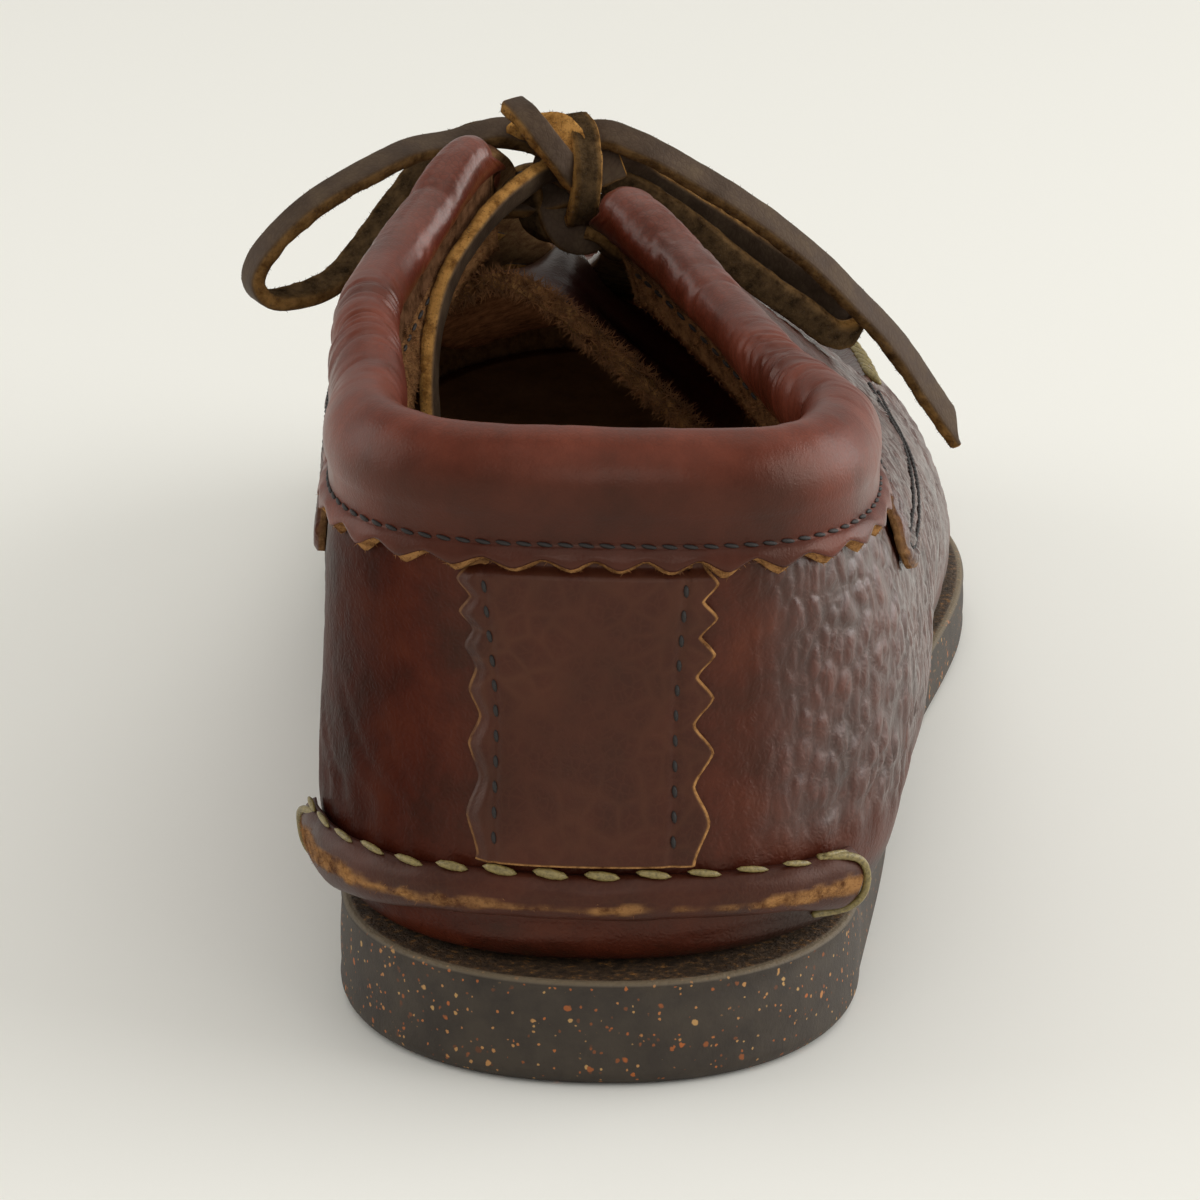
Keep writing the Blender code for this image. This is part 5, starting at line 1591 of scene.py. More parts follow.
    def sew(self, s: Array, stitch_at: Array, out: float, behind: Array) -> Pieces:
        """The dark machine stitches along the flange, and those of the hems inside the facings."""
        last = self.last
        kept = behind > 0.15
        line = last.edge(s[kept], stitch_at[kept], np.full(kept.sum(), out - 0.42))
        normals = last.normal(s[kept], last.down(s[kept], stitch_at[kept]))
        row = self.stitching.row("collar_thread", line, normals, 2.5, 2.1, 0.32, self.finishes.bonded,
                                 slant=-11)
        pieces = [settle(row, "collar_leather")]
        for side in Side:
            y = np.linspace(76, 112, 90)
            stations = side.value * last.station(y)
            down = self.sizes(stations)[1] + self.hem_stitches
            line = last.edge(stations, down, np.full(len(y), -self.wall - self.slot - self.skin - 2.2))
            facing = -last.normal(stations, last.down(stations, down))
            row = self.stitching.row(f"hem_thread_{side.name.lower()}", line, facing, 3.2, 2.4, 0.3,
                                     self.finishes.bonded)
            pieces.append(settle(row, "collar_leather"))
        return pieces


# ---- overlays ------------------------------------------------------------------------------------


@dataclass
class Eyestay:
    """The reinforcing overlay along one facing, with its two rows of stitches."""

    last: Last
    finishes: Finishes
    stitching: Stitching
    collar: Collar
    side: Side
    start: float = 42.0
    end: float = 166.5
    tab: float = 9.0
    front: float = 20.0
    low_rows: tuple[Row, ...] = ((42, 0.595), (62, 0.600), (88, 0.625), (115, 0.655), (166.5, 0.675))
    under: float = 0.4
    thickness: float = 1.5
    seams: Row = (2.3, 4.4)
    rise_from: float = 117.0  # forward of the collar its upper edge rises to the facing's
    rise: float = 1.6

    def bounds(self, y: float, inset: float = 0.0) -> tuple[float, float]:
        """The lower and upper v of the overlay at y, moved in from its outline by inset."""
        s = self.side.value * self.last.station(y)
        low = float(np.interp(y, *zip(*self.low_rows)))
        below = float(self.collar.flange_foot(s)[0]) + 0.5
        edge = below if y <= self.rise_from else max(0.35, below - (y - self.rise_from) * self.rise)
        high = float(self.last.down(s, edge + inset)[0])
        tall = float(np.linalg.norm(self.last.skin(s, high) - self.last.skin(s, low)))
        low += (high - low) * inset / max(tall, 1e-6)
        tab, front = self.tab - inset, self.front - inset
        behind = max(0.0, self.start + inset + tab - y) / tab
        ahead = max(0.0, y - (self.end - inset - front)) / front
        middle = low + (high - low) * 0.35
        share = math.sqrt(max(0.0, 1 - behind**2))
        low, high = middle + (low - middle) * share, middle + (high - middle) * share
        return low, low + (high - low) * math.sqrt(max(0.0, 1 - ahead**2))

    def build(self) -> Pieces:
        """Makes the overlay and its stitches."""
        last = self.last
        even = np.linspace(0, 1, 200)
        y = self.start + 0.12 + (self.end - self.start - 0.24) * (even - 0.055 * np.sin(2 * math.pi * even))
        spans = np.array([self.bounds(value) for value in y])
        share = np.linspace(0, 1, 46)[None]
        v = spans[:, :1] + (spans[:, 1:] - spans[:, :1]) * share
        s = self.side.value * last.station(y)[:, None] * np.ones_like(v)
        points = last.skin(s, v)
        lateral = self.side is Side.LATERAL
        heavy = 0.9 if lateral else 0.25
        groove = grooves(points + 1.2 * noise(points, 7.0, 61)[..., None], (2.4, 2.4, 4.4), 19, 0.24)
        plate = Plate(last, s, v, self.under, self.thickness, 0.5, None, heavy, 0.5 * heavy * groove,
                      0.55 if lateral else 0.08)
        away = plate.from_outline()
        relief = -0.3 * heavy * groove + 0.16 * noise(points, (8, 8, 12), 62)
        for inset in self.seams:
            relief = relief - 0.38 * np.exp(-(((away - inset) / 0.5) ** 2))
        tab = smooth(self.start + 16, self.start + 5, y)[:, None]
        ridges = 0.5 + 0.5 * np.cos(2 * math.pi * (away - 1.2) / 2.1)
        relief = relief + tab * (0.35 if lateral else 0.15) * ridges
        plate.relief = relief
        name = self.side.name.lower()
        piece = plate.sweep().make(f"eyestay_overlay_{name}", last, [self.finishes.quarter])
        made = [settle(piece, "grain_leather", f"eyestay_{name}")]
        for number, inset in enumerate(self.seams):
            made.append(self.sew(f"eyestay_thread_{name}_{number + 1}", inset))
        return made

    def sew(self, name: str, inset: float) -> bpy.types.Object:
        """One row of stitches, along the lower edge, round the tab and back along the upper edge."""
        last = self.last
        y = np.concatenate([np.linspace(self.end - 6, 60, 120), np.linspace(60, self.start + inset + 0.05, 60)])
        spans = np.array([self.bounds(value, inset) for value in y])
        kept = y[::-1] <= self.rise_from - 1
        path_y = np.concatenate([y, y[::-1][kept]])
        path_v = np.concatenate([spans[:, 0], spans[::-1, 1][kept]])
        s = self.side.value * last.station(path_y)
        line = last.off(s, path_v, self.under + self.thickness - 0.22)
        row = self.stitching.row(name, line, last.normal(s, path_v), 2.6, 2.0, 0.3, self.finishes.bonded,
                                 slant=8)
        return settle(row, "grain_leather")


@dataclass
class HeelPanel:
    """The milled leather strip down the back, pinked along its sides and stitched down twice."""

    last: Last
    finishes: Finishes
    stitching: Stitching
    collar: Collar
    half: float = 0.215
    foot: float = 0.368
    tall: float = 38.5
    under: float = 0.4
    thickness: float = 1.5
    tooth: float = 1.2
    tooth_pitch: float = 5.9
    seam_in: float = 3.9
    tucked: float = 2.6  # how far its top runs up under the collar's flange

    def build(self) -> Pieces:
        """Makes the strip and its stitches."""
        last = self.last
        share = np.linspace(0, 1, 110)
        scale = self.half / abs(last.skin(self.half, 0.5)[0] - last.heel_x)  # s for each millimetre across
        even = np.linspace(-1, 1, 120)
        across = np.sign(even) * (1 - (1 - np.abs(even)) ** 1.25)[None]
        rows = share[:, None]
        run = share * self.tall
        right = self.half + scale * self.tooth * wave(run, self.tooth_pitch, 7)
        left = self.half + scale * 0.8 * self.tooth * wave(run, self.tooth_pitch, 9)
        s = np.where(across > 0, across * right[:, None], across * left[:, None])
        top = last.down(s[-1], self.collar.flange_foot(s[-1]) - self.tucked)
        v = self.foot + (top[None] - self.foot) * rows
        points = last.skin(s, v)
        net = grooves(warped(points, 1.6, 6.0, 71), (4.2, 4.2, 3.9), 29, 0.17)
        net = net * (0.6 + 0.5 * noise(points, 9.0, 74))
        relief = -0.07 * net + 0.10 * noise(points, (9, 9, 9), 75)
        for side in (1, -1):
            away = (s - side * (self.half - self.seam_in * scale)) / scale
            relief = relief - 0.30 * np.exp(-((away / 0.7) ** 2))
        # the inner side's edge is pressed flat into the quarter, so little of its cut shows
        pressed = smooth(3.0, 0.5, (s + left[:, None]) / scale)
        relief = relief - 0.75 * pressed
        # the flange lies over its top, so it is skived thin there
        to_flange = self.tall * (1 - rows) - self.tucked
        relief = relief - 1.42 * smooth(2.6, 0.4, to_flange)
        plate = Plate(last, s, v, self.under, self.thickness, 0.4, relief, 0.35, 0.5 * np.clip(net, 0, 1))
        sweep = plate.sweep()
        showing = smooth(0.25, 0.6, noise(points[:, 0], 4.0, 76))
        for columns in (slice(0, 30), slice(-3, None)):
            sweep.values["cut"][:, columns] *= 0.6 * showing[:, None]
        sweep.values["cut"] *= smooth(-0.5, 1.2, to_flange)
        piece = sweep.make("heel_strip", last, [self.finishes.panel])
        made = [settle(piece, "grain_leather", "heel_panel")]
        for side in Side:
            level = np.linspace(self.foot + 0.01, float(top.min()) - 0.06, 80)
            stations = np.full(80, side.value * (self.half - self.seam_in * scale))
            line = last.off(stations, level, self.under + self.thickness - 0.36)
            name = f"heel_strip_thread_{side.name.lower()}"
            row = self.stitching.row(name, line, last.normal(stations, level), 3.0, 1.7, 0.36,
                                     self.finishes.bonded, slant=8)
            made.append(settle(row, "grain_leather"))
        return made


@dataclass
class HeelSeam:
    """The bottom leather's raised edge, hand sewn round the back of the heel with waxed thread."""

    last: Last
    finishes: Finishes
    stitching: Stitching
    nap: Nap
    level: float = 0.335
    drop: float = 0.018
    ends: Row = (-0.865, 0.585)
    half: float = 2.9  # half its height, at the back and then added at the ends
    swelling: float = 1.8
    stand: float = 2.75
    thread: float = 0.64
    pitch: float = 6.2

    def build(self) -> Pieces:
        """Makes the raised edge, its stitches, the thread round its ends, and its nap."""
        last = self.last
        s = last.spread(*self.ends, 0.45, 0.34)
        middle = self.level - self.drop * s**2
        scale = last.stretch(s, middle)
        run = run_of(last.skin(s, middle))
        place = on_line(run)
        outward = smooth(0.25, 0.8, np.abs(s))
        tall = self.half + self.swelling * outward + 0.15 * noise(place, 7.0, 81)
        drift = 0.35 * noise(place, 13.0, 82) - 0.9 * outward
        pull = 0.5 + 0.5 * np.cos(2 * math.pi * run / self.stitching_pitch(run))
        loops, tan = [], []
        for turn in np.linspace(-1.75, 1.5, 24):
            up = tall * math.sin(turn)
            lift = 0.3 + self.stand * max(math.cos(turn), 0.0) ** 0.75
            high = smooth(0.5, 1.4, turn)
            lift = lift * (1 - 0.22 * pull * high) + 0.2 * noise(place + (0, 4 * turn, 0), 5.0, 83) * (lift > 1)
            loops.append(last.off(s, middle + (up + drift) / scale, lift))
            away = up + 0.8 - 1.7 * outward
            width = 0.42 + 1.3 * outward + 0.4 * noise(place, 6.0, 84)
            ragged = 0.35 * noise(place + (0, 5 * turn, 0), 1.6, 85)
            strong = 0.72 + 0.2 * outward + 0.25 * noise(place, 2.5, 86)
            tan.append(smooth(0.3, -0.3, np.abs(away) - width - ragged) * strong)
        for up in (1.2, -1.2):
            loops.append(last.off(s, middle + (up + drift) / scale, 0.3))
            tan.append(np.zeros(len(s)))
        loops, tan = np.stack(loops, axis=1), np.clip(np.stack(tan, axis=1), 0, 1)
        sweep = Sweep(loops, {"cut": tan, "pebble": np.full(tan.shape, 0.3), "fluff": tan}, 2.0)
        piece = sweep.make("heel_seam_edge", last, [self.finishes.panel])
        up = tall + 0.15 + drift
        line = last.off(s, middle + up / scale, 1.5)
        row = self.stitching.row("heel_seam_stitches", line, last.normal(s, middle + up / scale),
                                 self.pitch, 4.6, self.thread, self.finishes.waxed, slant=-8, wander=0.2,
                                 swell=lambda share: 0.62 + 0.45 * np.exp(-(((share - 0.52) / 0.2) ** 2)))
        wraps = [self.wrap(side).make(f"wrap_{side}", last, [self.finishes.waxed]) for side in (0, 1)]
        thread = join("heel_seam_thread", [row, *wraps])
        fibres = self.nap.grow("heel_seam_nap", piece, self.finishes.nap, 4.0, 0.5, 0.045, 6)
        return [settle(piece, "raw_edge_leather", "heel_seam"), settle(thread, "raw_edge_leather"),
                settle(fibres, "raw_edge_leather")]

    def stitching_pitch(self, run: Array) -> float:
        """The distance between stitches, so that a whole number of them fits."""
        return run[-1] / max(1, int(run[-1] / self.pitch))

    def wrap(self, side: int) -> Sweep:
        """The thread taken round one end of the raised edge."""
        end = self.ends[side]
        way = math.copysign(1, end)
        route = []
        for back, up, lift in ((0.09, 4.2, 0.9), (0.04, 4.3, 1.9), (-0.008, 3.5, 2.7), (-0.036, 1.4, 3.0),
                               (-0.042, -1.2, 3.0), (-0.032, -3.2, 2.2), (-0.01, -4.6, 1.0), (0.03, -5.2, 0.2)):
            s = np.array([end - way * back])
            middle = self.level - self.drop * s**2
            route.append(self.last.off(s, middle + (up - 0.9) / self.last.stretch(s, middle), lift)[0])
        return tube(curve(np.array(route), 40), 0.8 * self.thread)


# ---- inside --------------------------------------------------------------------------------------


@dataclass
class Insole:
    """The leather sock that the foot stands on."""

    last: Last
    finishes: Finishes
    lift: float = 2.8
    thickness: float = 2.4

    def build(self) -> Pieces:
        """Makes the insole."""
        last = self.last
        s = last.spread(-3, 3, 1.6, 0.2)[:-1]
        rings = []
        top = self.lift + self.thickness
        for height, levels in ((self.lift, (0, 0.1, 0.19)), (top, (0.194, 0.18, 0.1, 0))):
            for level in levels:
                ring = last.skin(s, level)
                dish = 0.25 * noise(ring, 22.0, 91) * (level < 0.15)
                rings.append(np.column_stack([ring[:, :2], last.sole_top(ring[:, 1]) + height + dish]))
        faces = grid_faces(len(rings), len(s), ring=True)
        count = len(rings) * len(s)
        piece = add_mesh("insole_sock", last, np.concatenate(rings), faces, [self.finishes.insole],
                         {"raw": np.zeros(count), "pebble": np.full(count, 0.2)})
        return [settle(piece, "lining_leather", "insole")]


@dataclass
class Tongue:
    """The tongue under the facings, cut raw at its top edge and creased where the laces press it."""

    last: Last
    finishes: Finishes
    nap: Nap
    thickness: float = 2.5
    crown: float = 6.0
    swell: float = 5.6
    over: int = 90  # points across its upper face
    beneath: int = 24  # and back across its under side
    rows: tuple[Row, ...] = (  # y, apex x, apex z, lateral slope, medial slope, lateral reach, medial reach
        (111, -18.0, 77.0, 0.95, 0.80, 33.0, 14.0),
        (125, -16.0, 74.0, 0.86, 0.70, 32.0, 15.8),
        (140, -12.5, 69.0, 0.66, 0.62, 30.0, 19.0),
        (156, -9.5, 62.3, 0.50, 0.52, 27.0, 20.0),
        (172, -9.0, 56.6, 0.42, 0.46, 24.0, 19.0),
    )

    def surface(self, y: float, across: Array, lift: Array | float) -> Array:
        """Points of the tongue's upper face at y, lifted off it."""
        table = np.array(self.rows)
        apex_x, apex_z, out_slope, in_slope, out_reach, in_reach = (
            float(through(table[:, 0], table[:, k], np.array([y]))[0]) for k in range(1, 7))
        outer = across > 0
        reach = np.where(outer, out_reach, in_reach) * np.abs(across)
        slope = np.where(outer, out_slope, in_slope)
        crown = np.hypot(self.crown, slope * reach)
        tilt = slope * slope * reach / crown
        flat = np.sqrt(1 + tilt * tilt)
        side = np.where(outer, 1, -1)
        x = apex_x + side * reach + lift * side * tilt / flat
        swell = self.swell * hill(139, 27, y) * np.exp(-(((x + 10) / 4.2) ** 2))  # between the facings
        return np.stack([x, np.full_like(x, y), apex_z - crown + self.crown + swell + lift / flat], axis=-1)

    def build(self) -> Pieces:
        """Makes the tongue and the nap of its edge."""
        across = np.linspace(-1, 1, self.over)
        back = np.linspace(1, -1, self.beneath)
        flesh = np.repeat([0.0, 1.0], [self.over, self.beneath])
        loops, tan, burnish_and_shade, fluff = [], [], [], []
        for number, y in enumerate(np.linspace(self.rows[0][0], self.rows[-1][0], 84)):
            base = self.surface(y, across, 0.0)
            # the spot under the knot is burnished dark, and also darkened as painted shade
            rubbed_and_shaded = hill(121, 9, y) * hill(-2, 12, base[:, 0])
            bent = base + 1.2 * noise(base, 6.0, 95)[..., None]
            crease = rubbed_and_shaded * (0.4 * noise(bent, (14, 2.3, 9), 96) + 0.16 * noise(bent, (7, 1.0, 5), 94))
            outer = self.surface(y, across, crease + 0.15 * noise(base, 9.0, 97))
            ragged = 0.25 * noise(np.stack([back * 30, 0 * back + y, 0 * back], axis=-1), (1.5, 1, 1), 98)
            inner = self.surface(y, back, -self.thickness + ragged)
            loop = np.concatenate([outer, inner])
            if number == 0:
                loop[:, 1] += 0.7 * noise(loop, 1.6, 99) + 0.5 * noise(loop, 0.8, 93)
            loops.append(loop)
            tan.append(np.full(len(loop), 0.8 * smooth(2, 0, number)))
            # painted shadow: the swell under the knot is darkened as the knot's shadow
            knot_shadow = hill(136, 22, y) * hill(-10, 10, base[:, 0])
            burnish_and_shade.append(np.pad(0.9 * np.maximum(rubbed_and_shaded, knot_shadow), (0, self.beneath)))
            fluff.append(np.full(len(loop), smooth(1.5, 0, number)))
        values = {"raw": [flesh] * len(loops), "cut": tan, "burnish_and_shade": burnish_and_shade, "fluff": fluff,
                  "pebble": [0.4 + 0 * flesh] * len(loops)}
        values = {name: np.stack(lines) for name, lines in values.items()}
        sweep = Sweep(np.stack(loops), values, 0.3, 1.0, flat=True)
        piece = sweep.make("tongue_leather", self.last, [self.finishes.tongue])
        fibres = self.nap.grow("tongue_nap", piece, self.finishes.nap, 14.0, 1.7, 0.075, 8)
        return [settle(piece, "tongue_leather", "tongue"), settle(fibres, "tongue_leather")]


# ---- laces ---------------------------------------------------------------------------------------


@dataclass(frozen=True)
class Thong:
    """One stretch of the flat leather lace: its route, and which way its grain side faces along it."""

    name: str
    route: tuple[Row, ...]
    faces: tuple[Row, ...]  # share of the length, then the grain side's direction
    width: float = 4.2
    taper: Row = (1.0, 1.0)  # how wide its two ends are
    slant: float = 0.0  # how long a slanting cut takes off one corner of the far end
    bare: float = 0.0  # how much of the grain side is worn down to tan
    tan: tuple[Row, ...] = ((0.0, 0.3), (1.0, 0.3))  # share of the length, then how tan the cut edges are

    def path(self, spacing: float = 0.7) -> Array:
        """The centre line, evenly spaced."""
        line = curve(np.array(self.route, float), 400)
        run = run_of(line)
        return read(line, run, np.linspace(0, run[-1], max(12, int(run[-1] / spacing))))


@dataclass
class Laces:
    """The leather lace: three bars over the gap, the bow's knot, its loops and its ends."""

    last: Last
    finishes: Finishes
    nap: Nap
    thickness: float = 2.1
    ends: tuple[Thong, ...] = (
        Thong("lace_loop_inner", (
            (-9.6, 121.4, 91.4), (-13.6, 121.0, 93.6), (-18.6, 120.5, 95.1), (-24.4, 119.5, 93.8),
            (-30.9, 115.5, 93.2), (-35.4, 112.0, 91.7), (-40.0, 109.0, 89.6), (-44.6, 106.3, 87.0),
            (-48.5, 104.5, 83.6), (-51.5, 104.0, 79.8), (-52.4, 104.0, 76.4), (-51.0, 104.5, 74.3),
            (-47.9, 106.0, 73.8), (-43.6, 109.0, 74.5), (-39.8, 113.0, 76.8), (-36.0, 117.0, 81.5),
            (-31.5, 120.5, 87.5), (-26.5, 123.5, 92.2), (-21.0, 126.2, 93.4), (-16.0, 127.5, 92.6),
            (-11.8, 127.9, 91.3), (-8.8, 126.0, 90.2),
        ), ((0.0, -0.2, -0.5, 0.85), (0.2, -0.2, -0.55, 0.8), (0.38, -0.55, -0.55, 0.6),
            (0.47, -0.85, -0.5, 0.1), (0.53, -0.5, -0.1, -0.8), (0.62, 0.1, 0.5, -0.85),
            (0.8, 0.3, 0.5, -0.8), (1.0, 0.0, 0.4, -0.9)),
            tan=((0.0, 0.15), (0.35, 0.3), (0.5, 0.5), (0.6, 0.25), (1.0, 0.2))),
        Thong("lace_loop_outer", (
            (-6.4, 122.8, 91.6), (-1.8, 124.2, 90.0), (3.1, 128.2, 86.1), (8.9, 130.8, 81.9),
            (14.7, 133.0, 77.6), (20.7, 135.0, 73.2), (25.8, 136.8, 69.1), (29.7, 138.0, 66.0),
            (32.2, 137.6, 64.0), (30.9, 135.2, 63.0), (25.0, 131.0, 66.6), (20.9, 128.8, 70.0),
            (17.1, 127.3, 73.1), (12.6, 126.0, 76.8), (7.7, 125.2, 80.9), (2.8, 124.7, 84.3),
            (-1.6, 124.3, 86.8), (-5.6, 123.4, 88.6),
        ), ((0.0, -0.17, -0.91, -0.07), (0.42, -0.17, -0.91, -0.07), (0.48, -0.75, -0.1, 0.6),
            (0.56, 0.1, 0.95, 0.1), (1.0, 0.1, 0.95, 0.1)),
            tan=((0.0, 0.8), (0.22, 0.45), (0.36, 0.3), (0.44, 0.9), (0.52, 0.9), (0.6, 0.15), (1.0, 0.15))),
        Thong("lace_end_outer", (
            (-6.5, 122.4, 94.4), (-3.8, 122.1, 94.6), (-1.6, 121.9, 93.9), (2.0, 122.5, 92.3),
            (7.5, 124.0, 89.0), (14.5, 126.0, 84.4), (20.7, 128.0, 79.6), (27.0, 130.0, 73.9),
            (32.5, 132.5, 67.8), (37.4, 135.2, 62.0), (42.4, 138.2, 54.2), (47.6, 141.0, 46.2),
        ), ((0.0, 0.5, -0.6, 0.65), (0.5, 0.6, -0.56, 0.6), (1.0, 0.65, -0.6, 0.45)), slant=5.0,
            tan=((0.0, 0.2), (0.8, 0.2), (1.0, 0.6))),
        Thong("lace_end_inner", (
            (-9.8, 119.8, 90.4), (-12.8, 117.4, 89.9), (-15.0, 114.2, 89.0), (-17.8, 110.0, 87.4),
            (-20.9, 104.0, 84.7), (-23.2, 99.0, 82.0), (-24.8, 95.0, 79.1), (-25.8, 91.0, 75.8),
            (-26.2, 86.0, 72.0), (-26.0, 81.0, 67.6), (-25.4, 77.5, 62.5), (-25.0, 75.5, 56.5),
            (-24.8, 75.0, 50.5),
        ), ((0.0, 0.73, -0.5, -0.45), (0.4, 0.75, -0.5, -0.4), (0.65, 0.93, -0.32, -0.1),
            (1.0, 0.95, -0.3, 0.0)),
            taper=(0.7, 1.0), tan=((0.0, 1.0), (1.0, 1.0))),
    )
    strands: tuple[Thong, ...] = (
        Thong("wrap", (
            (-8.8, 122.4, 96.4), (-7.4, 118.8, 95.9), (-6.7, 117.0, 93.6), (-6.5, 116.4, 90.0),
            (-6.8, 116.8, 86.4), (-7.4, 118.6, 83.4), (-8.0, 122.0, 82.4), (-8.4, 125.4, 84.6),
            (-8.8, 126.4, 89.6), (-9.2, 125.4, 94.4), (-9.0, 122.8, 96.2),
        ), ((0.0, 0.0, 0.2, -1.0), (0.25, -0.38, 0.92, 0.0), (0.55, 0.0, 0.0, 1.0), (0.75, 0.0, -1.0, 0.0),
            (1.0, 0.0, 0.2, -1.0)), tan=((0.0, 1.0), (1.0, 1.0))),
        Thong("standing", (
            (-17.2, 117.6, 99.6), (-15.4, 115.8, 98.5), (-13.4, 115.0, 96.4), (-11.6, 114.7, 94.2),
            (-9.9, 115.2, 92.0), (-8.6, 117.2, 89.6), (-8.0, 120.4, 88.2),
        ), ((0.0, 0.45, -0.6, 0.6), (0.5, 0.45, -0.8, 0.4), (1.0, 0.3, -0.9, 0.3)), width=3.8,
            tan=((0.0, 0.7), (1.0, 1.0))),
        Thong("crown", (
            (-17.0, 121.0, 95.4), (-13.4, 119.4, 96.2), (-11.0, 118.4, 96.4), (-9.2, 117.6, 95.2),
            (-8.2, 117.2, 92.6), (-8.0, 118.4, 88.6),
        ), ((0.0, 0.0, 0.2, -1.0), (0.5, 0.1, 0.7, -0.7), (1.0, 0.0, 1.0, 0.0)), bare=1.0),
        Thong("heart", (
            (-13.6, 121.6, 91.2), (-11.2, 120.6, 90.6), (-8.2, 120.8, 89.4), (-5.2, 121.8, 89.6),
            (-2.2, 122.8, 90.6),
        ), ((0.0, 0.0, -1.0, 0.2), (1.0, 0.0, -1.0, 0.2)), width=5.0),
        Thong("throat_inner", (
            (-25.4, 121.4, 84.2), (-21.6, 121.6, 84.0), (-16.8, 121.8, 84.4), (-12.4, 121.6, 85.2),
            (-8.6, 121.4, 87.0),
        ), ((0.0, -0.3, -0.3, 0.9), (1.0, 0.0, -0.8, 0.5))),
        Thong("half_hitch", (
            (-12.6, 123.6, 86.6), (-11.2, 120.8, 83.4), (-9.2, 119.6, 80.8), (-6.8, 119.8, 80.2),
            (-4.8, 121.4, 82.0), (-4.2, 124.0, 85.0),
        ), ((0.0, 0.5, -0.8, 0.3), (0.5, 0.2, -1.0, 0.0), (1.0, -0.4, -0.9, 0.2)), width=5.0),
        Thong("throat_outer", (
            (-1.4, 122.6, 80.4), (-3.4, 122.4, 81.2), (-5.2, 122.2, 82.6), (-6.8, 122.0, 84.6),
            (-7.8, 121.8, 87.0),
        ), ((0.0, 0.4, -0.5, 0.8), (1.0, 0.3, -0.9, 0.1))),
    )

    def ribbon(self, thong: Thong) -> tuple[Sweep, Array]:
        """One stretch as a closed sweep, and its centre line.

        Args:
            thong: the stretch.

        Returns:
            The sweep, and the points that it follows.
        """
        path = thong.path()
        share = np.linspace(0, 1, len(path))
        faces = np.array(thong.faces)
        grain = read(faces[:, 1:], faces[:, 0], share)
        ahead = unit(np.gradient(path, axis=0))
        grain = unit(grain - ahead * (grain * ahead).sum(axis=1, keepdims=True))
        aside = np.cross(ahead, grain)
        ease = thong.taper[0] + (1 - thong.taper[0]) * smooth(0, 0.12, share)
        ease = ease * (thong.taper[1] + (1 - thong.taper[1]) * smooth(1.0, 0.88, share))
        to_end = run_of(path)[-1] - run_of(path)
        trimmed = smooth(thong.slant, 0, to_end) if thong.slant else np.zeros(len(path))
        side = (  # across, up, flesh, cut: from the middle of the grain side to the middle of the flesh side
            (0.0, 1.03, 0, 0), (0.4, 1.02, 0, 0), (0.78, 1.0, 0, 0), (0.92, 0.9, 0, 0.15), (0.99, 0.6, 0, 0.8),
            (1.03, 0.2, 0.2, 1), (1.03, -0.3, 0.3, 1), (0.99, -0.75, 0.8, 0.8), (0.86, -1.0, 1, 0.25),
            (0.5, -1.05, 1, 0), (0.0, -1.0, 1, 0),
        )
        corners = [(-a, *rest) for a, *rest in side[:0:-1]] + [*side[:-1]]
        loops, raw, tan = [], [], []
        for across, up, flesh, edge in corners:
            wide = np.maximum(across, -1.03 + 1.75 * trimmed)
            spot = path + aside * (wide * thong.width / 2 * ease)[:, None] + grain * up * self.thickness / 2
            rag = (0.14 * noise(spot, 0.9, 103) + 0.12 * noise(spot, 2.5, 104)) * max(flesh, edge)
            dent = 0.08 * noise(spot, 4.0, 105) + 0.05 * noise(spot, 1.3, 106)
            loops.append(spot + unit(spot - path) * (rag + dent)[:, None])
            raw.append(np.full(len(path), float(flesh)))
            tan.append(np.full(len(path), max(float(edge), thong.bare)))
        raw, tan = np.stack(raw, axis=1), np.stack(tan, axis=1)
        amount = np.array(thong.tan)
        tanned = np.maximum(np.interp(share, amount[:, 0], amount[:, 1])[:, None], thong.bare)
        values = {"raw": np.maximum(raw, tan), "cut": tan * tanned, "pebble": np.full(raw.shape, 0.5),
                  "fluff": np.maximum(raw, tan)}
        return Sweep(np.stack(loops, axis=1), values, 0.3, 1.0), path

    def build(self, eyelets: Eyelets) -> Pieces:
        last = self.last
        made = []
        parts = [self.ribbon(strand)[0].make(f"knot_{strand.name}", last, [self.finishes.lace])
                 for strand in self.strands]
        knot = join("lace_knot_strands", parts)
        fuzz = self.nap.grow("lace_knot_nap", knot, self.finishes.dark_nap, 3.0, 0.4, 0.045, 11)
        made += [settle(knot, "lace_leather", "lace_knot"), settle(fuzz, "lace_leather")]
        nodes = {"lace_loop_inner": "lace_loop_medial", "lace_loop_outer": "lace_loop_lateral",
                 "lace_end_outer": "lace_end_lateral", "lace_end_inner": "lace_end_inside"}
        for thong in self.ends:
            sweep, path = self.ribbon(thong)
            piece = sweep.make(thong.name, last, [self.finishes.lace])
            made.append(settle(piece, "lace_leather", nodes[thong.name]))
            fibres = self.nap.grow(thong.name + "_nap", piece, self.finishes.dark_nap, 3.0, 0.35, 0.04, 12)
            made.append(settle(fibres, "lace_leather"))
            line = last.place(path)
            length = float(run_of(line)[-1])
            LOG.info("%s is %.0f mm long", thong.name, length / MM)
        made += eyelets.bars(self)
        return made


